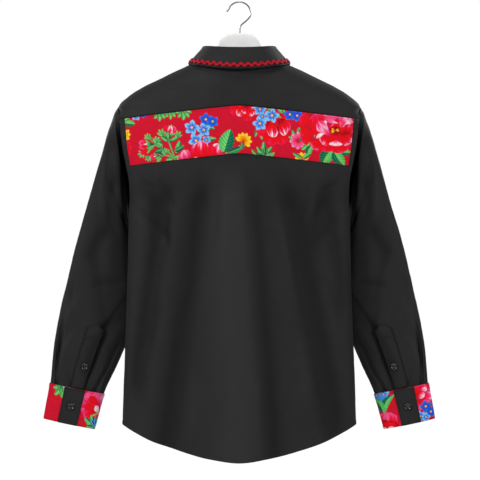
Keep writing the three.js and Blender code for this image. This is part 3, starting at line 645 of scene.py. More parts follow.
fallEdge = columns(
    [
        ("turn", "x", "y", "z"), (-84, 49, -63, -214), (-64, 64, -61.5, -190), (-44, 79, -54, -162),
        (-22, 91.5, -33, -134), (0, 98.5, 0, -121.5),
    ]
)


def fallEdgePoint(turn):
    left = np.cos(turn) >= 0
    own = np.where(left, turn, math.pi - turn)
    sine = np.sin(own)
    key = np.degrees(own)
    drop = collar["fallDrop"] * sine**2
    behind = [98.5 * np.cos(own), collar["fallDepth"] * sine, collar["sideEdge"] - drop]
    before = [fallEdge[name](key) for name in "xyz"]
    x, y, z = (np.where(sine > 0, b, f) for b, f in zip(behind, before))
    return np.stack([np.where(left, x, -x), y, z], -1)


def fallGridAt(turn, downShares):
    ring = foldRing(turn)
    along = unitVectors(foldRing(turn + 0.02) - foldRing(turn - 0.02))
    out = unitVectors(np.stack([along[:, 1], -along[:, 0], along[:, 0] * 0], -1))
    upward = np.cross(out, along)

    def place(away, up):
        return ring + out * away + upward * up

    shoulder = place(4.4, -1)
    edge = clearOfTrunk(fallEdgePoint(turn), collar["fallClear"])
    zone = 1 - ricrac["zone"] / np.linalg.norm(shoulder - edge, axis=-1)
    control = [place(-1.2, 2.9), place(1.6, 2.7), place(3.6, 1.2), shoulder]
    for share in (np.full(turn.shape, 0.3), zone, np.ones(turn.shape)):
        bulge = out * (12 * share * (1 - share) * np.sin(turn) ** 2)[:, None]
        control.append(clearOfTrunk(mix(shoulder, edge, share[:, None]) + bulge, collar["fallClear"]))
    control = np.array(control)
    # A smooth line through the seven places, by the distance along them.
    step = np.linalg.norm(np.diff(control, axis=0), axis=-1)
    at = np.concatenate([np.zeros((1, len(turn))), np.cumsum(step, 0)])
    at = at / at[-1]
    slope = np.gradient(control, axis=0) / np.maximum(np.gradient(at, axis=0), 1e-6)[..., None]
    rows = []
    for s in downShares:
        i = np.clip((at[1:-1] <= s).sum(0), 0, 5)
        pick = np.arange(len(turn))
        a, b = at[i, pick], at[i + 1, pick]
        t = ((s - a) / (b - a))[:, None]
        span = (b - a)[:, None]
        ends = control[i, pick], slope[i, pick], control[i + 1, pick], slope[i + 1, pick]
        rows.append(hermite(t, span, *ends))
    return np.array(rows)


fallFrontTurn = math.radians(-84)
fallTurns = np.linspace(fallFrontTurn, math.pi - fallFrontTurn, 481)
fallShares = np.concatenate([np.linspace(0, 0.2, 14), np.linspace(0.2, 1, 56)[1:]])
fallPoints = fallGridAt(fallTurns, fallShares)
fallNormals = gridNormals(fallPoints)
fallDown = lengths(fallPoints, 0)
fallFromEdge = fallDown[-1] - fallDown
fallAlong = lengths(fallPoints, 1)
fallRelief = 0.2 * roughness(fallAlong, fallDown, 22, 33) + 0.1 * roughness(fallAlong, fallDown, 7, 34)
fallRelief += 0.25 * smooth((collar["stitch"] - fallFromEdge) / 1.5) * (fallFromEdge < collar["stitch"])
fallRelief += 0.18 * roughness(fallAlong, fallAlong * 0, 6, 35) * bell(fallFromEdge - 9, 5)
collarFall = shell("collarFall", fallPoints, fallNormals, collar["fallWall"], relief=fallRelief)
print("stage: collar")

# Ric-rac braid on the fall: a flat braid whose edges run in waves.


# Points and normals on the fall, by the share of the way round and the distance above its edge.
def fallAt(share, above):
    place = np.clip(np.asarray(share, float), 0, 1) * (len(fallTurns) - 1)
    c = np.minimum(place.astype(int), len(fallTurns) - 2)
    across = (place - c)[..., None]
    found = []
    for grid in (fallPoints, fallNormals):
        sides = []
        for k in (c, c + 1):
            # The row at that height, in each column.
            table = fallFromEdge[:, k].reshape(len(fallShares), -1)
            flat = np.broadcast_to(above, k.shape).ravel()
            kk = k.ravel()
            row = np.clip((table > flat).sum(0) - 1, 0, len(fallShares) - 2)
            high, low = table[row, np.arange(kk.size)], table[row + 1, np.arange(kk.size)]
            t = np.clip((high - flat) / (high - low), 0, 1)[:, None]
            sides.append(mix(grid[row, kk], grid[row + 1, kk], t).reshape(*k.shape, 3))
        found.append(mix(sides[0], sides[1], across))
    return found[0], unitVectors(found[1])


# The braid's middle line: rounded zigzag waves of even length.
def waveLine(steps):
    length = fallAlong[-1] / fallAlong[-1, -1]
    even = np.linspace(ricrac["margin"], 1 - ricrac["margin"], steps)
    share = np.interp(even, length, np.linspace(0, 1, len(fallTurns)))
    turn = (even - ricrac["margin"]) / (1 - 2 * ricrac["margin"]) * ricrac["waves"] * 2 * math.pi
    wave = np.sin(turn) - 0.11 * np.sin(3 * turn) + 0.03 * np.sin(5 * turn)
    return share, ricrac["swing"] * wave, turn


braidSteps = ricrac["waves"] * 26 + 1
braidShare, braidSwing, braidTurn = waveLine(braidSteps)
braidAcross = np.linspace(-0.5, 0.5, 13)[:, None]
braidAbove = ricrac["above"] + braidSwing + braidAcross * (ricrac["width"] + 0.5 * np.cos(braidTurn * 2))
braidPoints, braidNormals = fallAt(np.broadcast_to(braidShare, braidAbove.shape), braidAbove)
braidRound = 0.35 * (1 - (2 * braidAcross) ** 2) - 0.18
braidRib = 0.1 * np.sin(braidTurn * 9 + braidAcross * 14)
ricracBraid = shell(
    "ricracBraid", braidPoints, braidNormals, fabric["layerWall"], 0.9, relief=braidRound + braidRib
)
print("stage: braid")

# The sleeves, by the way down: the outer and the inner edge of each section, and its thickness.
sleeve = columns(
    [
        ("down", "outerX", "outerY", "outerZ", "innerX", "innerY", "innerZ", "thick"),
        (0, 235, 0, -203.5, 216, 0, -405, 62), (14, 241.4, -2, -214, 216.3, -9, -412, 52),
        (30, 247.4, -5, -229, 215.5, -19, -424, 45), (46, 253.6, -8, -244, 214.5, -28, -436, 41),
        (80, 264, -11, -275.5, 211, -42, -459, 38), (113, 273, -13, -307, 202, -52, -482, 37),
        (194, 295, -16, -385, 173, -63, -514, 37), (275, 318, -18, -463, 169, -63, -548, 37),
        (355, 337, -20, -541, 192, -57, -596, 36), (435, 355, -22, -619, 219, -49, -658, 34),
        (498, 365, -24, -681, 242, -43, -710, 31), (561, 370, -26, -743.5, 267.5, -38, -765, 25),
        (630, 382, -27, -813.5, 287.5, -38, -834.5, 23),
    ]
)

arm = {
    "round": 2.2,
    "end": 567,
    "foldFade": 60,
    "roundWidth": 150,  # what one share of the way round stands for in wrinkles
    "headTuck": 5,
    "headDip": 17,
    "dipBottom": 6,
    "dipReach": 17,
    "armholeReach": 60,
}
cuff = {
    "top": 561,
    "end": 630,
    "lift": 1.2,
    "wall": 2,
    "strip": (0.353, 0.584),  # shares of the way round
}

# Folds by where they lie round the sleeve (0 outer edge, 1 inner edge, 2 all round) and how far down.
sleeveFolds = [
    (0.168, 424, 0.262, 640, 0.022, -7), (0.8, 430, 0.66, 640, 0.045, -4.5),
    (0.42, 110, 0.3, 330, 0.07, -4), (0.3, 250, 0.6, 460, 0.06, -3.5), (1.5, 120, 1.35, 420, 0.09, -4),
    (1.7, 420, 1.6, 640, 0.06, -4.5),
]


def sleeveFoldAt(folds, share, down, fade=arm["foldFade"]):
    total = np.zeros(np.broadcast(share, down).shape)
    for topShare, top, endShare, end, width, depth in folds:
        along = np.clip((down - top) / (end - top), 0, 1)
        ends = smooth((down - top) / fade) * smooth((end - down) / fade)
        total += depth * ends * bell(share - mix(topShare, endShare, along), width)
    return total


def sleevePoint(share, down, folded=True):
    share, down = np.broadcast_arrays(np.asarray(share, float), np.asarray(down, float))
    outer = np.stack([sleeve["outer" + k](down) for k in "XYZ"], -1)
    inner = np.stack([sleeve["inner" + k](down) for k in "XYZ"], -1)
    centre = (outer + inner) / 2
    span = outer - centre
    across = unitVectors(span)
    depth = unitVectors(np.array([0, 1, 0]) - across * across[..., 1:2])
    turn = share * math.pi
    sine = np.where(np.abs(np.sin(turn)) < 1e-9, 0, np.sin(turn))
    bulk = sleeve["thick"](down) / 2 * power(sine, 2 / arm["round"])
    if folded:
        bulk = bulk + sleeveFoldAt(sleeveFolds, share, down) * np.sign(sine)
    return centre + span * power(np.cos(turn), 2 / arm["round"])[..., None] + depth * bulk[..., None]


def armholePoint(share):
    behind = share <= 1
    z = armholeZ(np.where(behind, share, 2 - share))
    edge = trunkPoint(edgeAngle(z, behind), z)
    turn = share * math.pi
    away = np.maximum(np.abs(np.sin(turn)), (1 - np.cos(turn)) / 2)
    edge[..., 0] += fabric["seamGap"] * 2 + fabric["wall"] * away
    return edge


# Where the sleeve meets the trunk its head turns in under the armhole's edge, dips, and comes out again.


def sleeveAt(share, down, folded=True):
    share, down = np.broadcast_arrays(np.asarray(share, float) % 2, np.asarray(down, float))
    point = sleevePoint(share, down, folded)
    ring = armholePoint(share)
    start = sleevePoint(share, down * 0, folded)
    side = np.sin(share * math.pi)
    sunk = smooth(down / arm["dipBottom"])
    fade = 1 - smooth(down / arm["armholeReach"])
    turned = 1 - smooth((down - arm["dipBottom"]) / (arm["dipReach"] / 2))
    tuck = arm["headTuck"] * turned * np.abs(side) ** 0.5
    dip = arm["headDip"] * side * np.minimum(smooth((0.9 - np.abs(share - 1)) / 0.25), 1)
    dip = dip * sunk * (1 - smooth((down - arm["dipBottom"]) / arm["dipReach"])) * np.where(side > 0, 1, 0.6)
    x = point[..., 0] + (ring[..., 0] - start[..., 0]) * fade - tuck
    y = mix(ring[..., 1], point[..., 1], sunk) - dip
    z = point[..., 2] + (ring[..., 2] - start[..., 2]) * fade
    y = y - np.sign(y) * np.minimum(np.abs(y), 2.2) * (1 - sunk) * np.minimum(tuck, 1)
    return np.stack([x, y, z], -1)


# Smaller wrinkles of each sleeve: from share, down to share, down, then width (mm) and depth (mm).
sleeveWrinkles = [
    (0.62, 14, 0.36, 150, 8, -2.3), (0.8, 20, 0.55, 170, 8, -2.2), (0.4, 8, 0.22, 90, 7, -1.6),
    (0.2, 60, 0.44, 240, 9, 1.6), (0.5, 180, 0.3, 300, 8, -1.8), (0.25, 262, 0.46, 348, 7, -1.7),
    (0.62, 300, 0.36, 372, 8, -1.9), (0.18, 330, 0.3, 430, 6, -1.3), (0.72, 372, 0.6, 560, 7, -2.2),
    (0.86, 440, 0.7, 566, 8, 1.8), (0.64, 372, 0.585, 590, 6, -5.5), (0.166, 416, 0.25, 600, 2.6, -4.5),
    (0.3, 380, 0.2, 470, 7, 1.3), (0.36, 440, 0.24, 566, 5, 1.6), (0.33, 520, 0.47, 566, 4, -1.3),
    (0.12, 470, 0.1, 566, 5, -1.4), (1.8, 30, 1.5, 180, 9, -2), (1.3, 40, 1.5, 200, 9, -2.1),
    (1.6, 200, 1.3, 360, 9, -1.9), (1.75, 260, 1.5, 420, 9, 1.6), (1.2, 380, 1.4, 540, 8, -1.9),
    (1.5, 440, 1.45, 566, 7, 1.5), (1.85, 440, 1.8, 566, 6, -1.3),
]


def sleeveCreases(x, down, table):
    rows = [(a * arm["roundWidth"], -d0, b * arm["roundWidth"], -d1, w, h) for a, d0, b, d1, w, h in table]
    return creases(x, -down, rows)


def sleeveRelief(share, down, seed):
    x = share * arm["roundWidth"]
    relief = sleeveCreases(x, down, sleeveWrinkles) * 1.4
    relief += 0.7 * roughness(x, down * 0.6, 30, seed) + 0.22 * roughness(x, down, 10, seed + 1)
    relief *= smooth(down / 14) * 0.85 + 0.15
    # Gathers held by the cuff's seam.
    gather = bell(down - cuff["top"], 26)
    relief += 0.8 * gather * roughness(x, x * 0, 8, seed + 2)
    # The raised edge of the seam that runs down the back of the sleeve.
    away = (share - seamTurn(down)) * arm["roundWidth"]
    relief += 0.4 * smooth((away + 7.5) / 1.2) * smooth((1.2 - away) / 1.2) * smooth((down - 20) / 20)
    return relief


placket = {
    "peak": 11,
    "top": 432,
    "crossSeam": 26,  # below its peak
}
placketSides = columns(
    [
        ("down", "left", "right"),
        (400, 0.452, 0.575),
        (placket["top"], 0.4465, 0.567),
        (cuff["top"], 0.424, 0.559),
    ]
)
seamTurn = column([("down", "share"), (0, 0.66), (300, 0.66), (placket["top"], 0.567), (arm["end"], 0.559)])


# Painted shade on a sleeve, besides its folds' own: from share, down to share, down, width (mm) and how dark.
sleeveShades = [
    (0.166, 416, 0.252, 600, 1.9, -1.7), (0.19, 436, 0.285, 600, 4, -0.5),
    (0.572, 436, 0.585, 615, 4, -1.3), (0.6, 460, 0.615, 615, 8, -0.8),
]
# How far out the painted shadow of the armhole reaches on the sleeve, by height.
armholeOut = column(
    [
        ("z", "x"), (-203, 232), (-230, 239), (-270, 243), (-330, 243), (-400, 241), (-470, 237),
        (-560, 232), (-700, 226),
    ]
)


def armholeShadow(points, width):
    return smooth((armholeOut(points[..., 2]) - 1 - np.abs(points[..., 0])) / width)


# Painted shade on a sleeve: darker along its back seam, round its placket's edge, in the armhole's painted
# shadow and along the rows of sleeveShades.
def sleeveShade(points, share, down):
    x = share * arm["roundWidth"]
    seam = bell((share - seamTurn(down)) * arm["roundWidth"], 1.5) * smooth((down - 20) / 20)
    away = (share - placketSides["left"](down)) * arm["roundWidth"]
    borderShade = bell(away * 1.5, 1.8) * smooth((down - placket["top"]) / 4)
    shades = sleeveCreases(x, down, sleeveShades)
    return shades - 1.1 * seam - 0.9 * borderShade * (share < 1) - 1.3 * armholeShadow(points, 16)


sides = {"Left": np.array([1, 1, 1]), "Right": np.array([-1, 1, 1])}
sleeveShares = np.linspace(0, 2, 165)[:-1]
sleeveDowns = np.concatenate([np.linspace(0, 20, 17), np.linspace(20, arm["end"], 217)[1:]])
sleevePoints = sleeveAt(sleeveShares, sleeveDowns[:, None])
sleeveNormals = gridNormals(sleevePoints, True)
cuffShares = np.linspace(0, 2, 341)[:-1]
cuffDowns = np.linspace(cuff["top"], cuff["end"], 77)
cuffPoints = sleeveAt(cuffShares, cuffDowns[:, None], False)
cuffNormals = gridNormals(cuffPoints, True)
cuffSide = lengths(cuffPoints, 1)


def cuffRelief(seed):
    down = cuffDowns[:, None]
    fromEdge = np.minimum(down - cuff["top"], cuff["end"] - down)
    relief = 0.3 * roughness(cuffSide, down, 14, seed) + 0.12 * roughness(cuffSide, down, 5, seed + 1)
    relief -= 0.55 * smooth((1.6 - fromEdge) / 1.6)
    relief -= 0.28 * bell(fromEdge - 3.4, 0.9)
    return relief + 0.25 * roughness(cuffSide, cuffSide * 0, 7, seed + 2) * smooth((9 - fromEdge) / 9)


stripPlaces = np.linspace(*cuff["strip"], 61)
stripPoints = sleeveAt(stripPlaces, cuffDowns[:, None], False)
stripNormals = gridNormals(stripPoints)
stripLift = cuff["lift"] + cuff["wall"] + fabric["layGap"]


def placketGrid(count, rows):
    # Its top runs up to a point.
    across = np.linspace(0, 1, count)
    peak = placket["peak"] * (1 - np.abs(2 * across - 1))
    t = np.linspace(0, 1, rows)[:, None]
    down = mix(placket["top"] - peak, cuff["top"] - 1, t)
    share = mix(placketSides["left"](down), placketSides["right"](down), across)
    return share, down, sleeveAt(share, down)


placketSide, placketDown, sleevePlacketPoints = placketGrid(45, 109)
sleevePlacketDown = lengths(sleevePlacketPoints, 0)
sleevePlacketNormals = gridNormals(sleevePlacketPoints)
blackPieces, rosePieces = {}, {}
for side, seed in (("Left", 41), ("Right", 61)):
    flip = sides[side]
    relief = sleeveRelief(sleeveShares, sleeveDowns[:, None], seed)
    deep = relief + sleeveFoldAt(sleeveFolds, sleeveShares, sleeveDowns[:, None])
    height = sleevePoints[..., 2]
    # Painted shade for the sleeve: fade darker in its folds, seam, placket edge and armhole; dark is the
    # painted shadow in the armhole, where the trunk shades it.
    inArmhole = smooth((-180 - height) / 40) * smooth((560 + height) / 240)
    blackPieces["sleeve" + side] = shell(
        "sleeve" + side,
        sleevePoints * flip,
        sleeveNormals * flip,
        fabric["wall"],
        tube=True,
        relief=relief,
        fade=deep / fabric["foldFull"] + sleeveShade(sleevePoints, sleeveShares, sleeveDowns[:, None]),
        dark=0.95 * armholeShadow(sleevePoints, 12) * inArmhole,
    )
    stripRelief = 0.2 * roughness(stripPlaces * 300, cuffDowns[:, None], 12, seed + 5)
    fromSide = np.minimum(stripPlaces - cuff["strip"][0], cuff["strip"][1] - stripPlaces) * arm["roundWidth"]
    stripRelief = stripRelief - 0.3 * smooth((1.2 - fromSide) / 1.2)
    stripRelief = stripRelief - 0.15 * bell(fromSide - 3, 0.8)
    name = "cuffStrip" + side
    blackPieces[name] = shell(
        name, stripPoints * flip, stripNormals * flip, fabric["layerWall"], stripLift, relief=stripRelief
    )
    placketOwn = sleeveRelief(placketSide, placketDown, seed) * 0.6
    fromSide = np.minimum(placketSide - placketSide[:, :1], placketSide[:, -1:] - placketSide)
    fromSide = fromSide * arm["roundWidth"]
    placketOwn = placketOwn - 0.12 * bell(fromSide - 2.5, 0.8)
    # Painted shade: the placket darker in its hollows and along its cross seam.
    blackPieces["sleevePlacket" + side] = shell(
        "sleevePlacket" + side,
        sleevePlacketPoints * flip,
        sleevePlacketNormals * flip,
        fabric["layerWall"],
        fabric["layGap"],
        relief=np.maximum(placketOwn, -0.4),
        fade=placketOwn / 3 - 1.2 * bell(sleevePlacketDown - placket["crossSeam"], 1.3),
    )
print("stage: sleeves")

# The print: flowers and leaves on crimson, painted in layers.
def linear(r, g, b):
    c = np.array([r, g, b]) / 255
    return np.where(c <= 0.04045, c / 12.92, ((c + 0.055) / 1.055) ** 2.4)


def ramp(palette, t):
    table = np.array(palette)
    place = np.clip(t, 0, 1) * (len(table) - 1)
    i = np.minimum(place.astype(int), len(table) - 2)
    return mix(table[i], table[i + 1], (place - i)[..., None])


crimson = linear(204, 18, 44)
ink = {
    "wine": linear(120, 6, 28),
    "deep": linear(168, 0, 22),
    "red": linear(232, 12, 26),
    "rose": linear(238, 30, 84),
    "pink": linear(246, 84, 140),
    "pale": linear(250, 176, 206),
    "cream": linear(252, 232, 232),
    "navy": linear(16, 44, 150),
    "royal": linear(24, 90, 220),
    "blue": linear(62, 146, 236),
    "sky": linear(132, 196, 246),
    "pine": linear(8, 92, 76),
    "green": linear(28, 150, 84),
    "fresh": linear(92, 200, 104),
    "lime": linear(178, 226, 120),
    "gold": linear(252, 206, 40),
    "amber": linear(250, 150, 16),
    "rust": linear(206, 74, 10),
}


def inks(names):
    return [ink[name] for name in names.split()]


# The colours of a printed cloth at a grid of places, x to the right and y up, in millimetres.
class Print:
    def __init__(self, x, y, ground):
        self.shape = np.broadcast(x, y).shape
        self.x, self.y = (np.broadcast_to(v, self.shape).ravel() for v in (x, y))
        self.colour = np.zeros((self.x.size, 3)) + ground

    def near(self, x, y, reach):
        return np.nonzero((np.abs(self.x - x) < reach) & (np.abs(self.y - y) < reach))[0]

    def local(self, which, x, y, turn):
        c, s = math.cos(math.radians(turn)), math.sin(math.radians(turn))
        dx, dy = self.x[which] - x, self.y[which] - y
        return dx * c + dy * s, dy * c - dx * s

    def lay(self, which, cover, colour):
        self.colour[which] += (colour - self.colour[which]) * cover[:, None]

    # One petal from its base. full: how near the tip it is widest. line: how dark its outline is.
    def petal(
        self, x, y, turn, length, width, palette,
        full=1.5, ragged=0, streak=0.1, seed=0, line=0.22, blunt=0.62,
    ):
        which = self.near(x, y, length * 1.05 + width * 0.3)
        a, b = self.local(which, x, y, turn)
        s = np.clip(a / length, 0.0001, 0.9999)
        b = b + 0.06 * length * np.sin(s * 3 + seed)
        w = width / 2 * np.sin(math.pi * s**full) ** blunt * (1 + ragged * np.sin(s * 29 + seed * 5))
        tip = length * (1 + ragged * 0.5 * np.sin(b / width * 22 + seed * 3))
        inside = np.minimum(w - np.abs(b), np.minimum(a, tip - a) * 0.9)
        across = np.clip(b / np.maximum(w, 0.3), -1, 1)
        t = s + streak * np.sin(across * 6 + seed * 2) * s + streak * 0.7 * np.sin(across * 15 + seed * 7) * s
        edge = 1 - line * bell(inside, 0.7)
        self.lay(which, smooth(inside / 0.5 + 0.5), ramp(inks(palette), t) * edge[:, None])

    # Petals from rows of place, turn, length, width and colours from base to tip.
    def petals(self, rows, full, ragged, streak, seed):
        for x, y, turn, length, width, tones in rows:
            self.petal(x, y, turn, length, width, tones, full, ragged, streak, x * seed)

    def disc(self, x, y, radius, colour, soft=0.5):
        which = self.near(x, y, radius + 1)
        d = radius - np.hypot(self.x[which] - x, self.y[which] - y)
        self.lay(which, smooth(d / soft + 0.5), np.asarray(colour))

    def leaf(self, x, y, turn, length, width, tones="pine green fresh lime", teeth=8, tooth=0.22, bow=0.0):
        which = self.near(x, y, length * 1.1)
        a, b = self.local(which, x, y, turn)
        s = np.clip(a / length, 0.0001, 0.9999)
        b = b + bow * length * np.sin(s * math.pi) * 0.5
        saw = 1 - tooth * (1 - np.abs(np.sin(math.pi * s * teeth)) ** 0.7) if teeth else 1
        w = width / 2 * np.sin(math.pi * s**0.8) ** 0.62 * saw
        inside = np.minimum(w - np.abs(b), np.minimum(a, length - a))
        across = b / np.maximum(w, 0.3)
        vein = np.cos((s * 7 - np.abs(across) * 1.6) * 2 * math.pi)
        t = 0.46 + 0.34 * np.sign(b) * smooth(np.abs(b) / 0.8) * 0.8 + 0.13 * vein - 0.2 * np.abs(across)
        colour = ramp(inks(tones), t)
        rib = bell(b, 0.42) * smooth((length - a) / 3)
        colour = mix(colour, ink["lime"], 0.75 * rib[:, None])
        edge = 1 - 0.45 * bell(inside, 0.6)
        self.lay(which, smooth(inside / 0.5 + 0.5), colour * edge[:, None])

    # A stalk that curves through three places.
    def stem(self, places, width=1.3):
        (x0, y0), (x1, y1), (x2, y2) = places
        which = self.near((x0 + x2) / 2, (y0 + y2) / 2, math.hypot(x2 - x0, y2 - y0) * 0.7 + 4)
        nearest = np.full(len(which), 99.0)
        for t in np.linspace(0, 1, 40):
            px = (1 - t) ** 2 * x0 + 2 * t * (1 - t) * x1 + t * t * x2
            py = (1 - t) ** 2 * y0 + 2 * t * (1 - t) * y1 + t * t * y2
            nearest = np.minimum(nearest, np.hypot(self.x[which] - px, self.y[which] - py))
        inside = width / 2 * 1.4 - nearest
        colour = ramp(inks("pine fresh"), 1.2 - nearest / width * 1.4)
        self.lay(which, smooth(inside / 0.4 + 0.5), colour)

    # A cluster of small pointed leaves that fan out from one place.
    def spray(self, x, y, turn, size, count=3, spread=52, tones="pine green fresh lime"):
        for k in range(count):
            share = (k - (count - 1) / 2) / max(count - 1, 1) * 2
            reach = size * (1 - 0.22 * abs(share))
            self.leaf(x, y, turn + share * spread, reach, reach * 0.5, tones, 3, 0.35, 0.1 * share)

    # A small flower of five pointed petals round a yellow eye.
    def blossom(self, x, y, radius, turn=0.0, tones="royal blue sky sky", eye="gold"):
        for k in range(5):
            way = turn + 72 * k
            self.petal(x, y, way, radius, radius * 0.7, tones, 1.1, 0.0, 0.1, k * 1.3, 0.4, 0.8)
            self.petal(x, y, way, radius * 0.66, radius * 0.14, "navy royal royal", 0.8, 0, 0, k, 0)
        self.disc(x, y, radius * 0.19, ink["rust"])
        self.disc(x, y, radius * 0.15, ink[eye])

    # A rosebud in its green cup. x, y is the foot of the cup.
    def bud(self, x, y, turn, size, tones="deep red rose pale"):
        self.petal(x, y, turn + 22, size, size * 0.6, "red red red red rose", 1.2, 0.03, 0.12, 1)
        self.petal(x, y, turn - 22, size, size * 0.6, "deep red red rose pink", 1.2, 0.03, 0.12, 2)
        self.petal(x, y, turn, size * 0.96, size * 0.5, tones, 1.35, 0.04, 0.26, 3)
        self.petal(x, y, turn - 12, size * 0.7, size * 0.1, "rose pink cream cream pale", 1.2)
        self.petal(x, y, turn + 30, size * 0.66, size * 0.22, "deep red red red", 1.4)
        for side, reach in ((-44, 0.7), (42, 0.68), (-14, 0.48), (15, 0.52)):
            cup = "pine green fresh fresh"
            self.leaf(x, y, turn + side, size * reach, size * 0.24, cup, 2, 0.3, side * 0.005)

    # A full rose: rings of petals from the outside in. A ring: petals, share of the radius out to their
    # bases, length, width, palette and the turn of the first.
    def rose(self, x, y, radius, rings, seed=0.0):
        for count, base, length, width, tones, turn in rings:
            for k in range(count):
                way = turn + 360 * k / count + 9 * math.sin(k * 2.7 + seed)
                bx = x + radius * base * math.cos(math.radians(way))
                by = y + radius * base * math.sin(math.radians(way))
                size = radius * (1 + 0.09 * math.sin(k * 3.9 + seed * 2))
                self.petal(bx, by, way, length * size, width * size, tones, 1.7, 0.05, 0.16, k + seed)

    def grid(self):
        return np.clip(self.colour, 0.002, 1).reshape(*self.shape, 3)


# Painted shade: the print darker in the faint dents where the topstitching pulls it in, and in the fold at
# its edge.
def stitchedEdge(colours, fromEdge):
    dentShade = 0.13 * bell(fromEdge - 3.4, 0.7) + 0.35 * smooth((1.1 - fromEdge) / 1.1)
    return colours * (1 - dentShade[..., None])


darkBlue = "navy royal royal blue"
yellow = "rust amber gold gold"
freshLeaf = "pine green fresh lime"
darkLeaf = "pine pine green fresh"
lightLeaf = "green fresh fresh lime"

openRose = [
    (6, 0.30, 0.70, 0.86, "deep red red red rose pale", 12),
    (5, 0.18, 0.62, 0.80, "wine deep red red pink cream", 40),
    (5, 0.08, 0.50, 0.66, "wine deep red red rose pale", 70),
    (4, 0.02, 0.36, 0.46, "wine deep red rose pink", 20),
]
halfRose = [
    (5, 0.26, 0.76, 0.66, "deep red red red rose", 200),
    (5, 0.14, 0.64, 0.46, "deep red red red pink cream", 226),
    (4, 0.0, 0.48, 0.36, "wine deep red red rose cream", 250),
]

# Petals painted one by one. Each row: the base, the turn, length and width, and the colours from base to tip.
bigRose = [
    (140, -239, 152, 27, 30, "deep red red red rose"),
    (142, -258, 194, 26, 36, "red red red red rose"),
    (156, -268, 234, 25, 28, "deep red red red pink"),
    (172, -268, 262, 26, 36, "red red red red rose"),
    (192, -268, 292, 27, 38, "red red red red rose"),
    (201, -256, 346, 20, 40, "deep red red red pink"),
    (195, -242, 58, 24, 34, "red rose pink pale pink"),
    (176, -240, 94, 24, 34, "rose rose pink pink pale"),
    (157, -250, 112, 32, 30, "red red red rose pink"),
    (144, -268, 91, 42, 6, "pink cream cream cream pink"),
    (158, -266, 78, 40, 6, "rose pink pale cream pale"),
    (153, -276, 97, 54, 20, "red red red red rose"),
    (196, -272, 92, 38, 42, "red red deep red red pink"),
    (176, -266, 126, 40, 22, "red rose pink pale pink rose"),
    (190, -240, 152, 30, 9, "cream pale pink pink rose"),
    (197, -246, 40, 26, 8, "pink pale cream pale pink"),
    (186, -262, 108, 20, 18, "red deep wine deep red"),
    (204, -262, 70, 24, 18, "deep deep red red pink"),
    (186, -258, 262, 23, 38, "deep red red red rose"),
    (201, -260, 312, 21, 30, "deep red red rose pale"),
    (172, -262, 232, 21, 22, "red red red rose pale"),
    (168, -256, 208, 24, 7, "rose pale cream cream pink"),
    (186, -270, 270, 12, 26, "rose pink cream pale"),
]
cutFlower = [
    (-88, -322, 160, 34, 26, "rose pink pink pale cream"),
    (-86, -322, 138, 38, 32, "red red red red rose pink"),
    (-90, -322, 122, 36, 20, "red red rose pink pale"),
    (-50, -322, 34, 34, 22, "rose pink pink pale cream"),
    (-58, -324, 64, 50, 24, "red red red rose pink cream"),
    (-70, -326, 98, 54, 34, "red red red red rose pale"),
    (-58, -326, 80, 46, 22, "deep red red red red rose"),
    (-76, -324, 112, 22, 16, "deep red rose pale cream"),
    (-62, -326, 70, 22, 14, "deep red pink cream cream"),
]
middleRose = [
    (58, -242, 222, 30, 24, "deep red red red rose"),
    (66, -246, 256, 36, 28, "deep red red red rose"),
    (72, -246, 292, 36, 28, "wine deep red red rose"),
    (74, -240, 338, 26, 26, "deep red red red pink"),
    (76, -234, 18, 22, 20, "deep red red red rose"),
    (60, -232, 236, 32, 17, "wine deep red red rose"),
    (66, -230, 264, 36, 22, "deep red red red pink cream"),
    (72, -232, 300, 34, 17, "wine deep red red pink cream"),
    (78, -230, 330, 24, 14, "wine deep red red rose"),
]


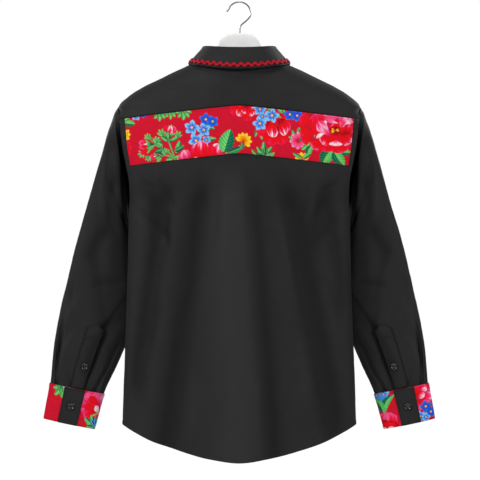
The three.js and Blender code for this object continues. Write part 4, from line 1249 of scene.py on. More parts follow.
def bandPrint():
    cloth = Print(-bandPoints[..., 0], bandPoints[..., 2], crimson)
    cloth.colour *= (1 + 0.05 * roughness(cloth.x, cloth.y, 3, 101))[:, None]
    # The left end: leaves, blue bits and flowers cut by the seam.
    cloth.leaf(-224, -236, -8, 24, 15, freshLeaf, 5, 0.3)
    cloth.leaf(-222, -232, 30, 12, 7, lightLeaf, 3, 0.3)
    cloth.blossom(-199, -223, 10.5, 20)
    cloth.blossom(-184, -219, 9.5, 50, darkBlue)
    for turn in (34, 4, -28):
        cloth.petal(-226, -260, turn, 17, 9, yellow, 1.2, 0.05)
    for turn in (40, 8, -30):
        cloth.petal(-225, -286, turn, 19, 13, "red red red red rose", 1.3, 0.05)
    # Leaves that hang from the seam, with blue between them.
    cloth.blossom(-115, -212, 10, 10, darkBlue)
    for x, size in ((-153, 21), (-132, 19), (-107, 22)):
        top = -214 + (x + 153) * 0.06
        cloth.spray(x, top, -90, size, 5, 66, lightLeaf)
        cloth.spray(x - size * 0.1, top, -90, size * 0.62, 3, 40)
    # Rosebuds on their own stalks, among their leaves.
    cloth.stem([(-121, -311), (-134, -290), (-166, -278)], 2.4)
    cloth.stem([(-121, -311), (-131, -288), (-137, -266)], 2.2)
    cloth.stem([(-122, -309), (-138, -296), (-156, -301)], 2)
    cloth.stem([(-148, -284), (-164, -276), (-177, -264)], 1.6)
    for x, y, turn, size, tones in (
        (-121, -296, 74, 25, freshLeaf), (-124, -292, 30, 22, darkLeaf), (-124, -305, 20, 14, lightLeaf),
        (-146, -287, 205, 18, darkLeaf), (-147, -281, 150, 20, freshLeaf),
        (-142, -286, 240, 14, freshLeaf), (-140, -274, 110, 19, darkLeaf),
        (-138, -272, 150, 15, freshLeaf), (-136, -276, 60, 20, darkLeaf), (-130, -272, 30, 17, freshLeaf),
        (-146, -302, 160, 20, darkLeaf), (-142, -300, 120, 13, freshLeaf),
        (-150, -305, 230, 13, lightLeaf), (-128, -307, 190, 13, lightLeaf),
    ):
        cloth.leaf(x, y, turn, size, size * 0.5, tones, 4, 0.3, 0.1)
    for x, y, turn, size in (
        (-174, -268, 120, 12), (-168, -271, 158, 11), (-160, -276, 74, 14), (-147, -263, 104, 16),
        (-133, -251, 56, 11), (-120, -266, 70, 15), (-183, -294, 214, 14), (-172, -302, 232, 12),
        (-140, -296, 66, 10),
    ):
        cloth.spray(x, y, turn, size, 4, 48, lightLeaf)
    for row in (
        (-163, -281, 186, 31, "red red red red red pink"),
        (-136, -269, 78, 27, "red red red rose pink cream"), (-152, -302, 196, 19, "deep red rose rose"),
    ):
        cloth.bud(*row)
    # Forget-me-nots, light and dark.
    for row in (
        (-66, -244, -16, 20, 9, freshLeaf, 4), (-68, -262, 50, 17, 9, freshLeaf, 4),
        (-66, -270, 4, 22, 10, freshLeaf, 4),
    ):
        cloth.leaf(*row)
    for row in (
        (-64, -231.5, 13, 14, darkBlue), (-51, -235.5, 12, 40, darkBlue),
        (-91, -247, 15, 8), (-68, -251.5, 14, 30), (-83, -272, 15, 50), (-63, -271, 9, 60),
    ):
        cloth.blossom(*row)
    cloth.petals(cutFlower, 1.8, 0.04, 0.17, 0.3)
    # The big leaf, and the yellow flower beside it.
    cloth.stem([(-26, -296), (-10, -292), (8, -284)], 2)
    cloth.leaf(-30, -294, 73, 45, 31, freshLeaf, 9, 0.2)
    cloth.leaf(4, -286, 201, 27, 13, darkLeaf, 6)
    cloth.spray(6, -288, 96, 13, 3, 40, "pine green green fresh")
    for turn in (156, 122, 92, 62, 30, -2, -36):
        cloth.petal(8, -273, turn, 16.5, 8, yellow, 1.2, 0.05, 0.14, turn * 0.02)
    for turn in (100, 66, 134):
        cloth.petal(8, -270, turn, 9, 5, "rust amber amber gold", 1.0, 0.0, 0.1, turn * 0.02)
    # The half rose under the peak of the seam, then more blue.
    cloth.rose(14, -205, 32, halfRose, 0.4)
    for row in (
        (54, -214, 8, 14, 7, freshLeaf, 4), (74, -212, -36, 13, 7, lightLeaf, 3),
        (84, -213, -70, 13, 7, freshLeaf, 3), (74, -226, -24, 14, 4, freshLeaf, 0),
        (100, -213, 10, 14, 6, freshLeaf, 3), (35, -246, 256, 20, 8, freshLeaf, 4),
        (39, -252, 284, 19, 8, lightLeaf, 4),
    ):
        cloth.leaf(*row)
    cloth.petals(middleRose, 1.8, 0.05, 0.2, 0.4)
    for row in (
        (39.5, -212, 13.5, 12), (44, -226, 9, 40), (39.5, -239.5, 14.5, 30), (62.5, -224, 15, 6),
        (97, -222, 12.5, 20, darkBlue), (111, -224, 12, 44, darkBlue),
    ):
        cloth.blossom(*row)
    # A sprig at the lower seam.
    for turn, size in ((92, 30), (54, 25), (126, 25), (22, 21), (158, 19)):
        cloth.leaf(48, -304, turn, size, size * 0.42, freshLeaf, 4, 0.34)
    cloth.spray(48, -300, 90, 15, 3, 36, darkLeaf)
    cloth.leaf(35, -302, 132, 17, 8, freshLeaf, 4, 0.3)
    cloth.leaf(60, -304, 50, 12, 6, lightLeaf, 3, 0.3)
    # The small pink flower with its leaves, and yellow below.
    cloth.spray(113, -272, 84, 26, 5, 74, "pine green fresh fresh")
    cloth.spray(114, -262, 40, 17, 3, 60, freshLeaf)
    for k in range(6):
        cloth.petal(113, -272, 92 + k * 44, 17, 10, "deep rose pink pink pale", 1.5, 0.08, 0.2, k)
    cloth.petal(112, -272, 180, 9, 6, "deep rose rose pink", 1.4, 0.05, 0.2, 3)
    cloth.leaf(139, -276, 214, 24, 12, lightLeaf, 4)
    cloth.leaf(141, -280, 250, 27, 14, freshLeaf, 5, 0.2, 0.3)
    for turn in (200, 164, 128, 92, 56, 20):
        cloth.petal(120, -308, turn, 14, 8, yellow, 1.2, 0.05, 0.14, turn * 0.02)
    cloth.leaf(120, -306, 150, 20, 8, freshLeaf, 4)
    cloth.leaf(122, -306, 34, 20, 9, freshLeaf, 4)
    # The big rose, with its leaves below.
    for x, y, turn, length, width, tones in (
        (176, -290, 240, 34, 27, freshLeaf), (180, -288, 350, 36, 19, freshLeaf),
        (182, -292, 306, 34, 24, freshLeaf), (203, -276, 12, 18, 10, freshLeaf),
        (150, -276, 236, 14, 9, darkLeaf),
    ):
        cloth.leaf(x, y, turn, length, width, tones, 7, 0.22, 0.1)
    for x, y, turn, length, width, tones in bigRose:
        cloth.petal(x, y, turn, length, width, tones, 1.75, 0.035, 0.17, x * 0.37 + turn)
    for turn in (206, 180, 150, 28, 4):
        cloth.petal(184, -253, turn, 8, 3, yellow, 1.3, 0, 0.1, turn)
    return stitchedEdge(cloth.grid(), bandFromEdge)
leftCuffRose = [
    (98, -26, 146, 34, 32, "red rose rose pink pink"),
    (94, -32, 186, 26, 28, "red red red rose pink"),
    (96, -36, 226, 24, 24, "deep rose rose pink"),
    (102, -38, 268, 24, 26, "red rose rose pink pink"),
    (110, -34, 306, 24, 24, "deep rose pink pink"),
    (112, -28, 12, 26, 30, "red rose pink pale"),
    (104, -26, 96, 30, 32, "rose rose pink pink"),
    (98, -30, 120, 26, 16, "red red red red"),
    (97, -36, 160, 22, 13, "red red red red"),
    (98, -38, 212, 20, 12, "red red red rose"),
    (108, -32, 78, 34, 24, "rose pink pink pale pale"),
    (113, -36, 92, 28, 8, "pink cream cream cream"),
    (117, -32, 60, 20, 7, "cream pale cream cream"),
    (106, -40, 128, 18, 10, "pink pale cream pale"),
]
rightCuffBud = [
    (22, -16, 118, 20, 24, "deep red rose pink"),
    (20, -18, 190, 22, 26, "deep red rose pink pale"),
    (22, -24, 236, 22, 22, "deep red rose pink pink"),
    (30, -26, 284, 22, 22, "deep red rose pink pink"),
    (34, -18, 334, 24, 26, "deep red red red pink"),
    (28, -14, 66, 22, 28, "red red rose pink pale"),
    (24, -22, 108, 22, 20, "red red red rose"),
    (34, -24, 70, 22, 20, "wine deep red red red"),
    (26, -14, 220, 15, 13, "deep red pink pale cream"),
    (20, -12, 160, 13, 10, "rose pink pale cream"),
]
rightCuffRose = [
    (94, -80, 146, 30, 30, "deep red red red red"),
    (100, -80, 38, 30, 30, "deep red red red red"),
    (96, -82, 94, 44, 44, "deep red red red rose pink pink"),
    (96, -84, 120, 32, 30, "wine deep wine deep red"),
    (100, -84, 66, 34, 34, "wine deep red wine red"),
    (96, -88, 94, 32, 36, "wine deep red red red"),
    (92, -84, 116, 19, 15, "red pink cream cream pale"),
    (101, -85, 74, 20, 16, "rose pale cream cream pale"),
]


def cuffPrint(left):
    # The same print on a cuff: x round it from its outer edge, y down from its top, with up positive.
    cloth = Print(cuffSide + cuffDowns[:, None] * 0, cuff["top"] - cuffDowns[:, None], crimson)
    cloth.colour *= (1 + 0.05 * roughness(cloth.x, cloth.y, 3, 107 if left else 109))[:, None]
    if left:
        for turn, size in ((196, 20), (232, 24), (268, 22), (300, 18)):
            cloth.leaf(29, -1, turn, size, size * 0.52, lightLeaf, 4, 0.3)
        cloth.spray(28, -2, 246, 13, 3, 40)
        cloth.blossom(42, -4, 7, 30)
        cloth.petal(37, 0, 200, 8, 5, "pale cream cream", 1.2)
        cloth.petals(leftCuffRose, 1.7, 0.05, 0.18, 0.4)
        cloth.disc(100, -62, 14, ink["wine"], 6)
        cloth.disc(101, -64, 10, ink["royal"], 6)
        for turn, size in ((146, 25), (112, 24), (66, 24), (30, 24), (186, 16), (348, 18)):
            cloth.leaf(100, -65, turn, size, size * 0.5, freshLeaf, 3, 0.28)
        for turn, size in ((90, 20), (126, 15), (52, 16)):
            cloth.leaf(100, -64, turn, size, 6, "navy royal blue sky", 0, 0)
        cloth.leaf(92, -46, 30, 18, 5, "rust amber fresh lime", 0, 0)
        cloth.rose(156, -30, 26, openRose, 3.1)
        cloth.spray(190, -52, 120, 20, 5)
        cloth.blossom(204, -20, 11, 12)
        cloth.blossom(216, -34, 11, 40)
        cloth.bud(182, -16, 40, 20)
        cloth.leaf(140, -62, 30, 22, 11)
    else:
        cloth.petals(rightCuffBud, 1.7, 0.05, 0.18, 0.4)
        for row in (
            (15, -42, 12, 12, darkBlue), (7, -54, 11, 40, darkBlue),
            (29, -58, 12, 10), (18, -62, 9, 30), (92, -4, 12, 20),
            (106, -4, 12, 50, "royal blue sky sky"),
        ):
            cloth.blossom(*row)
        cloth.disc(98, -16, 11, ink["blue"], 7)
        for row in (
            (97, -37, 108, 26, 9, "navy royal blue sky", 0, 0),
            (97, -37, 76, 25, 8, "navy navy royal lime", 0, 0),
            (97, -38, 131, 40, 15, freshLeaf, 5, 0.12, 0.3),
            (97, -38, 55, 36, 15, freshLeaf, 5, 0.12, -0.3),
        ):
            cloth.leaf(*row)
        cloth.petals(rightCuffRose, 1.7, 0.05, 0.18, 0.4)
        cloth.leaf(116, -18, 300, 22, 8, lightLeaf, 3)
        cloth.rose(160, -36, 25, openRose, 2.2)
        cloth.blossom(196, -14, 11, 22)
        cloth.spray(206, -50, 80, 20, 5)
        cloth.bud(186, -58, 150, 20)
        cloth.leaf(136, -10, 300, 24, 11)
    fromEdge = np.minimum(cuffDowns - cuff["top"], cuff["end"] - cuffDowns)[:, None] + cuffSide * 0
    return stitchedEdge(cloth.grid(), fromEdge)


# The floral cotton of the band and the cuffs.
bandSide = 1 - band["inset"] / backTopSide
bandOut = np.linspace(bandSide, -bandSide, 641)
bandRows = np.linspace(backTop - fabric["seamGap"], band["foot"], 129)


# The band lies on the first rows of the back, so its rows are the back's own.
def bandPlaces():
    edgeZ = bandRows[:, None]
    edgeX = trunkPoint(edgeAngle(edgeZ, True), edgeZ)[..., 0]
    x = bandOut * (edgeX - mix(3.2, 1, (bandRows[0] - edgeZ) / (bandRows[0] - band["foot"])))
    share = (edgeZ - bandRows[0]) / (body["sideHem"] - bandRows[0])
    top = yokeSeamZ(bandOut * backTopSide)
    hemFall = hemZ(bandOut, body["backHem"]) - body["sideHem"]
    z = edgeZ + (top - backTop) * (1 - below(share)) + hemFall * below(share)
    return angleAt(x, z, True), z


bandPoints = trunkPoint(*bandPlaces())
bandNormals = gridNormals(bandPoints)
bandDown = lengths(bandPoints, 0)
bandAlong = lengths(bandPoints, 1)
bandX = bandPoints[..., 0]
bandHeight = bandDown[-1]
bandEdges = [bandDown, bandHeight - bandDown, bandAlong, bandAlong[:, -1:] - bandAlong]
bandFromEdge = np.minimum.reduce(bandEdges)
bandRelief = 0.3 * roughness(bandX, bandDown, 26, 91) + 0.14 * roughness(bandX, bandDown, 8, 92)
bandRelief = bandRelief - 0.35 * smooth((1.2 - bandFromEdge) / 1.2)
bandRelief -= 0.22 * bell(bandFromEdge - 3.4, 0.9)
bandRelief += 0.2 * roughness(bandX, bandX * 0, 6, 93) * smooth((9 - bandFromEdge) / 9)

rosePieces["floralBand"] = shell(
    "floralBand",
    bandPoints,
    bandNormals,
    fabric["layerWall"],
    fabric["layGap"],
    relief=bandRelief,
    colours=bandPrint(),
)
for side, seed in (("Left", 71), ("Right", 81)):
    flip = sides[side]
    rosePieces["cuff" + side] = shell(
        "cuff" + side,
        cuffPoints * flip,
        cuffNormals * flip,
        cuff["wall"],
        cuff["lift"],
        tube=True,
        relief=cuffRelief(seed),
        colours=cuffPrint(side == "Left"),
    )
print("stage: floral pieces")


# Buttons.
# A closed form from rings of points, with both ends capped.
def ringSolid(name, grid):
    rows, cols = grid.shape[:2]
    faces = [
        (r * cols + c, r * cols + (c + 1) % cols, (r + 1) * cols + (c + 1) % cols, (r + 1) * cols + c)
        for r in range(rows - 1)
        for c in range(cols)
    ]
    faces += [tuple(range(cols))[::-1], tuple((rows - 1) * cols + c for c in range(cols))]
    obj = makeMesh(name, grid.reshape(-1, 3), faces)
    if sum(f.area * f.normal.dot(f.center) for f in obj.data.polygons) < 0:
        obj.data.flip_normals()
    return obj


def ringTurns(steps):
    return np.linspace(0, 2 * math.pi, steps, endpoint=False)


# A dished button with a rounded rim and four holes.
def buttonMesh(name, radius, thick, point, normal, spin):
    # Its profile: shares of its radius and of its thickness, but for the open middle.
    profile = [
        (0.78, 0), (0.93, 0.2), (1, 0.52), (0.985, 0.8), (0.93, 0.97), (0.86, 1), (0.79, 0.95),
        (0.72, 0.78), (0.64, 0.66), (0.5, 0.6), (0.4, 0.58), (0.3, 0.57), (0.2, 0.57), (0.1, 0.57),
    ]
    middle = 0.02
    out = np.array([middle] + [radius * share for share, _ in profile] + [middle])[:, None]
    up = np.array([0] + [thick * share for _, share in profile] + [thick * profile[-1][1]])[:, None]
    turns = ringTurns(64)
    grid = np.stack([out * np.cos(turns), out * np.sin(turns), up + turns * 0], -1)
    top = np.arange(len(out)) >= 9
    for k in range(4):
        angle = math.pi / 4 + k * half
        hole = np.array([math.cos(angle), math.sin(angle)]) * radius * 0.2
        near = np.hypot(grid[..., 0] - hole[0], grid[..., 1] - hole[1])
        grid[..., 2] -= (thick * 0.45 * smooth((radius * 0.13 - near) / (radius * 0.06))) * top[:, None]
    z = Vector(normal)
    x = Vector((0, 0, 1)).cross(z).normalized() if abs(z.z) < 0.9 else Vector((1, 0, 0))
    c, s = math.cos(spin), math.sin(spin)
    across, deep, up = np.moveaxis(grid, -1, 0)
    spun = np.stack([across * c - deep * s, across * s + deep * c, up], -1)
    return ringSolid(name, np.array(point) + spun @ np.array([x, z.cross(x), z]))


def nodeCentre(name):
    low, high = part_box(name)
    return (np.array(low) + np.array(high)) / 2 / unit


# A button's own axis: the direction in which its points spread least.
def nodeNormal(name):
    co = np.array([v.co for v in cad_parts[name].data.vertices])
    _, _, axes = np.linalg.svd(co - co.mean(0))
    return axes[2]


# Radius and thickness; those of the sleeves' plackets sit a little further out and lower than in the solids.
buttonSizes = {"front": (5.5, 2.4), "sleeve": (7, 2.8), "placketOut": 5, "placketDrop": 2}
buttonPieces = []
for name in sorted(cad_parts):
    if "button" not in name:
        continue
    inFront = name.startswith("front")
    axis = nodeNormal(name)
    axis = axis * np.sign(axis[1] * (-1 if inFront else 1))
    radius, thick = buttonSizes["front" if inFront else "sleeve"]
    words = name.split("_")
    pieceName = words[0] + "".join(word.capitalize() for word in words[1:])
    spin = 0.3 + 0.7 * (len(buttonPieces) % 5)
    base = nodeCentre(name) - axis * thick / 2
    if name.startswith("placket"):
        base = base + np.array([np.sign(base[0]) * buttonSizes["placketOut"], 0, -buttonSizes["placketDrop"]])
    buttonPieces.append(buttonMesh(pieceName, radius, thick, base, axis, spin))
print("stage: buttons")

# The hanger's hook, of wire.


hook = {
    "wire": 1.5,
    "bend": 22.5,
    "ball": 1.9,  # the wire's free end is a small ball
}


# A centripetal Catmull-Rom line through points.
def smoothLine(points, steps):
    points = np.array(points, float)
    points = np.concatenate([[2 * points[0] - points[1]], points, [2 * points[-1] - points[-2]]])
    line = []
    for i in range(1, len(points) - 2):
        p0, p1, p2, p3 = points[i - 1 : i + 3]
        t0 = 0
        t1 = t0 + np.linalg.norm(p1 - p0) ** 0.5
        t2 = t1 + np.linalg.norm(p2 - p1) ** 0.5
        t3 = t2 + np.linalg.norm(p3 - p2) ** 0.5
        for t in np.linspace(t1, t2, steps, endpoint=False):
            a1 = (t1 - t) / (t1 - t0) * p0 + (t - t0) / (t1 - t0) * p1
            a2 = (t2 - t) / (t2 - t1) * p1 + (t - t1) / (t2 - t1) * p2
            a3 = (t3 - t) / (t3 - t2) * p2 + (t - t2) / (t3 - t2) * p3
            b1 = (t2 - t) / (t2 - t0) * a1 + (t - t0) / (t2 - t0) * a2
            b2 = (t3 - t) / (t3 - t1) * a2 + (t - t1) / (t3 - t1) * a3
            line.append((t2 - t) / (t2 - t1) * b1 + (t - t1) / (t2 - t1) * b2)
    return np.array(line + [points[-2]])


# A round bar along a line that lies in the XZ plane.
def tubeMesh(name, line, radii, steps=24):
    tangent = unitVectors(np.gradient(line, axis=0))
    side = np.array([0.0, 1, 0])
    across = np.cross(tangent, side)
    turns = ringTurns(steps)[None, :, None]
    ring = np.cos(turns) * across[:, None] + np.sin(turns) * side
    grid = line[:, None] + ring * np.asarray(radii)[:, None, None]
    return ringSolid(name, grid)


# The bend over the rail, between its free end, which turns outward, and its neck.
hookTail = [(25.2, -17.2), (22.6, -15.4), (20.4, -12.6)]
hookNeck = [
    (-21.9, -24.2), (-19.3, -29.2), (-15.1, -33.9), (-10, -38.2), (-5.4, -42.1), (-2.6, -45.6),
    (-1.4, -49.5), (-1.2, -54), (-1.2, -58.7),
]
bendTurns = np.radians(np.linspace(38, 178, 24))
bendUp = hook["wire"] - hook["bend"] + hook["bend"] * np.sin(bendTurns)
bendLine = np.stack([hook["bend"] * np.cos(bendTurns), bendUp], -1)
hookPlaces = np.array(hookTail + bendLine.tolist() + hookNeck)
hookLine = smoothLine(np.insert(hookPlaces, 1, 0, axis=1), 4)
# The wire's free end is a small ball.
fromTip = np.concatenate([[0], np.cumsum(np.linalg.norm(np.diff(hookLine, axis=0), axis=-1))])
ball = np.sqrt(np.maximum(hook["ball"]**2 - (fromTip - hook["ball"]) ** 2, 0)) * (fromTip < 2 * hook["ball"])
hookRadii = np.maximum(np.where(fromTip < 0.35, 0, hook["wire"]), ball)
hookRadii[0] = 0.5
hookPiece = tubeMesh("wireHook", hookLine, hookRadii)

# The hanger: half its upper edge, then half its underside.
hangerTop = column(
    [
        ("x", "z"), (0, -59), (10, -59.3), (21.5, -61.4), (29.3, -65), (33.7, -68.8), (37.4, -72.8),
        (39.6, -76.6), (41.5, -81), (43.5, -88), (47, -95), (54, -102.5), (66, -112.5), (76, -118),
        (97.5, -127.2), (127, -140.5), (160, -156.6), (190, -171.6), (205, -179.8),
    ]
)
hangerFoot = column([("x", "z"), (0, -105), (24, -112.5), (60, -137), (120, -155), (170, -177), (205, -193)])


hanger = {
    "half": 5.5,
    "arm": 198,
    "tip": 7,
}


def hangerMesh():
    # Flat-sided with rounded edges, and rounded off at the end of each arm.
    near = np.linspace(0, 30, 9)[:-1]
    shoulder = np.linspace(30, 50, 25)[:-1]
    slope = np.linspace(50, hanger["arm"], 38)[:-1]
    tip = hanger["arm"] + hanger["tip"] * np.sin(np.linspace(0, half, 8))
    out = np.concatenate([near, shoulder, slope, tip])
    x = np.concatenate([-out[:0:-1], out])
    top, foot = hangerTop(np.abs(x)), hangerFoot(np.abs(x))
    end = np.sqrt(np.clip(1 - (np.maximum(np.abs(x) - hanger["arm"], 0) / hanger["tip"]) ** 2, 0.0004, 1))
    turns = ringTurns(32)
    up = power(np.sin(turns), 0.4)
    side = power(np.cos(turns), 0.4)
    z = (top + foot)[:, None] / 2 + (top - foot)[:, None] / 2 * end[:, None] * up
    y = hanger["half"] * end[:, None] * side
    grid = np.stack([np.broadcast_to(x[:, None], z.shape), y, z], -1)
    return ringSolid("coatHanger", grid)


hangerPiece = hangerMesh()
print("stage: hanger and hook")


# Materials.
# A shader's socket, so that its maths can be written out.
class Wire:
    def __init__(self, tree, socket=None):
        self.tree = tree
        self.socket = socket

    def node(self, kind, settings=None, values=None, out=0):
        made = self.tree.nodes.new(kind)
        for name, value in (settings or {}).items():
            setattr(made, name, value)
        for name, value in (values or {}).items():
            if isinstance(value, Wire):
                self.tree.links.new(value.socket, made.inputs[name])
            else:
                made.inputs[name].default_value = value
        return Wire(self.tree, made.outputs[out])

    def maths(self, operation, *others):
        return self.node("ShaderNodeMath", {"operation": operation}, dict(enumerate((self,) + others)))

    def flipped(self, operation, other):
        return self.node("ShaderNodeMath", {"operation": operation}, {0: other, 1: self})

    def __add__(self, other):
        return self.maths("ADD", other)

    def __radd__(self, other):
        return self.flipped("ADD", other)

    def __sub__(self, other):
        return self.maths("SUBTRACT", other)

    def __rsub__(self, other):
        return self.flipped("SUBTRACT", other)

    def __mul__(self, other):
        return self.maths("MULTIPLY", other)

    def __rmul__(self, other):
        return self.flipped("MULTIPLY", other)


def newMaterial(name, constants):
    material = bpy.data.materials.new(name)
    material.use_nodes = True
    shader = next(n for n in material.node_tree.nodes if n.type == "BSDF_PRINCIPLED")
    for socket, value in constants.items():
        shader.inputs[socket].default_value = value
    return material, Wire(material.node_tree), shader


def mixColours(wire, share, first, second, blend="MIX"):
    values = {0: share, 6: first, 7: second}
    return wire.node("ShaderNodeMix", {"data_type": "RGBA", "blend_type": blend}, values, out=2)


def link(wire, value, shader, socket):
    wire.tree.links.new(value.socket, shader.inputs[socket])


def noise(wire, place, scale, detail=2.0):
    return wire.node("ShaderNodeTexNoise", None, {"Vector": place, "Scale": scale, "Detail": detail})


def bumped(wire, strength, distance, height):
    return wire.node("ShaderNodeBump", None, {"Strength": strength, "Distance": distance, "Height": height})


# A colour's darker and lighter ends.
def tones(colour, low, high):
    return [(*(c * f for c in colour), 1) for f in (low, high)]


def stretched(wire, place, x, y):
    return wire.node("ShaderNodeVectorMath", {"operation": "MULTIPLY"}, {0: place, 1: (x, y, 1)})


# A plain weave: threads that pass over and under each other in turn.
def weaveHeight(wire, place, pitch):
    parts = wire.tree.nodes.new("ShaderNodeSeparateXYZ")
    wire.tree.links.new(place.socket, parts.inputs[0])
    turn = 2 * math.pi / pitch
    u = (Wire(wire.tree, parts.outputs[0]) * turn).maths("SINE")
    v = (Wire(wire.tree, parts.outputs[1]) * turn).maths("SINE")
    return u * v


# Painted shadow: mixes the shader towards a black, unlit one by share.
def paintShadow(wire, share, shader):
    nodes, links = wire.tree.nodes, wire.tree.links
    shadowBlack = nodes.new("ShaderNodeBsdfPrincipled")
    for socket, value in {"Base Color": (0, 0, 0, 1), "Roughness": 1, "Specular IOR Level": 0}.items():
        shadowBlack.inputs[socket].default_value = value
    blend = nodes.new("ShaderNodeMixShader")
    output = next(n for n in nodes if n.type == "OUTPUT_MATERIAL")
    links.new(share.socket, blend.inputs[0])
    links.new(shader.outputs[0], blend.inputs[1])
    links.new(shadowBlack.outputs[0], blend.inputs[2])
    links.new(blend.outputs[0], output.inputs["Surface"])


def cotton(name, settings):
    sheen = {"Sheen Weight": settings["sheen"], "Sheen Roughness": 0.5}
    material, wire, shader = newMaterial(name, {**sheen, "Specular IOR Level": settings["specular"]})
    place = wire.node("ShaderNodeUVMap", {"uv_map": "UVMap"})
    warp, weft = (noise(wire, stretched(wire, place, x, y), 1.0) for x, y in ((260, 2600), (2600, 260)))
    slubs = warp * 0.5 + weft * 0.5
    mottle = noise(wire, place, 38.0, 3.0)
    weave = weaveHeight(wire, place, settings["pitch"])
    tone = (slubs - 0.5) * settings["slub"] + (mottle - 0.5) * settings["mottle"] + weave * 0.04
    if settings["colour"]:
        dark, light = tones(settings["colour"], 0.25, 1.75)
        # The fade attribute is painted shade and light: darker in folds, seams and along edges, lighter on
        # ridges; its painted shadow in the armholes turns the cloth black.
        fade = wire.node("ShaderNodeAttribute", {"attribute_name": "fade"}, out=2)
        colour = mixColours(wire, tone + fade * settings["fade"] + 0.5, dark, light)
        paintShadow(wire, -1.15 - fade, shader)
    else:
        printed = wire.node("ShaderNodeAttribute", {"attribute_name": "print"})
        shade = mixColours(wire, tone + 0.5, (0.7, 0.7, 0.7, 1), (1.3, 1.3, 1.3, 1))
        colour = mixColours(wire, 1.0, printed, shade, "MULTIPLY")
    link(wire, colour, shader, "Base Color")
    link(wire, settings["roughness"] + (mottle - 0.5) * 0.12, shader, "Roughness")
    height = weave * 0.35 + slubs * 0.9
    link(wire, bumped(wire, 0.55, settings["relief"], height), shader, "Normal")
    return material


blackCottonLook = {
    "colour": (0.0118, 0.0118, 0.0124),
    "pitch": 0.00045,
    "slub": 0.25,
    "mottle": 0.3,
    # fade: how strongly the painted shade and light of the fade attribute change the colour.
    "fade": 0.46,
    "relief": 0.00011,
    "sheen": 0.03,
    "specular": 0.25,
    "roughness": 0.68,
}
roseCottonLook = {
    **blackCottonLook,
    "colour": None,
    "slub": 0.3,
    "mottle": 0.14,
    "sheen": 0.0,
    "specular": 0.1,
    "roughness": 0.85,
}
braidLook = {
    **blackCottonLook,
    "colour": (0.5, 0.0025, 0.016),
    "pitch": 0.0011,
    "slub": 0.3,
    "relief": 0.0003,
    "specular": 0.2,
    "roughness": 0.8,
}
blackCotton = cotton("blackCotton", blackCottonLook)
roseCotton = cotton("roseCotton", roseCottonLook)
redBraid = cotton("redBraid", braidLook)

plasticLook = {"colour": (0.008, 0.008, 0.009), "roughness": 0.2, "relief": 0.00003}
hangerLook = {"colour": (0.9, 0.9, 0.895), "roughness": 0.5, "relief": 0.00006}
hookLook = {"colour": (0.4, 0.4, 0.41), "roughness": 0.32, "relief": 0.000002}


def hardSurface(name, look, metallic, scale):
    constants = {"Metallic": metallic, "Coat Weight": 0.0 if metallic else 0.15, "Coat Roughness": 0.2}
    material, wire, shader = newMaterial(name, constants)
    place = wire.node("ShaderNodeTexCoord", out=3)
    cloud = noise(wire, place, scale, 3.0)
    fine = noise(wire, place, scale * 9, 2.0)
    dark, light = tones(look["colour"], 0.86, 1.14)
    link(wire, mixColours(wire, cloud, dark, light), shader, "Base Color")
    link(wire, look["roughness"] + (fine - 0.5) * 0.12, shader, "Roughness")
    link(wire, bumped(wire, 0.4, look["relief"], fine + cloud * 2), shader, "Normal")
    return material


buttonPlastic = hardSurface("buttonPlastic", plasticLook, 0.0, 180.0)
hangerPlastic = hardSurface("hangerPlastic", hangerLook, 0.0, 60.0)
hookSteel = hardSurface("hookSteel", hookLook, 1.0, 90.0)
print("stage: materials")

# Stitching.
stitchPitch = 3.0
stitchLook = {"Stitch Length": 0.0023, "Stitch Width": 0.00055, "Unevenness": 0.18, "Seed": 11}


# A line on a piece's outer face, a fixed distance in from one of its edges, shortened at each end.
def edgeLine(name, edge, away, start=0.0, end=0.0):
    points, normals = outerFaces[name]
    if edge in ("left", "right"):
        points, normals = points.transpose(1, 0, 2), normals.transpose(1, 0, 2)
    if edge in ("bottom", "right"):
        points, normals = points[::-1], normals[::-1]
    down = lengths(points, 0)
    row = np.clip((down <= away).sum(0) - 1, 0, len(down) - 2)
    pick = np.arange(points.shape[1])
    low, high = down[row, pick], down[row + 1, pick]
    t = ((away - low) / (high - low))[:, None]
    line = mix(points[row, pick], points[row + 1, pick], t)
    out = mix(normals[row, pick], normals[row + 1, pick], t)
    return trimmed(line, out, start, end)


def trimmed(line, out, start=0.0, end=0.0):
    along = np.concatenate([[0], np.cumsum(np.linalg.norm(np.diff(line, axis=0), axis=-1))])
    steps = max(2, int((along[-1] - start - end) / stitchPitch))
    at = np.linspace(start, along[-1] - end, steps)
    place = np.stack([np.interp(at, along, line[:, k]) for k in range(3)], -1)
    out = np.stack([np.interp(at, along, out[:, k]) for k in range(3)], -1)
    return place, unitVectors(np.gradient(place, axis=0)), unitVectors(out)


# A line on a piece's outer face through places given in rows and columns of its grid.
def surfaceLine(name, rows, cols):
    points, normals = outerFaces[name]
    r = np.minimum(rows.astype(int), points.shape[0] - 2)
    c = np.minimum(cols.astype(int), points.shape[1] - 2)
    s, t = (rows - r)[:, None], (cols - c)[:, None]

    def at(g):
        return mix(mix(g[r, c], g[r + 1, c], s), mix(g[r, c + 1], g[r + 1, c + 1], s), t)

    return trimmed(at(points), at(normals))


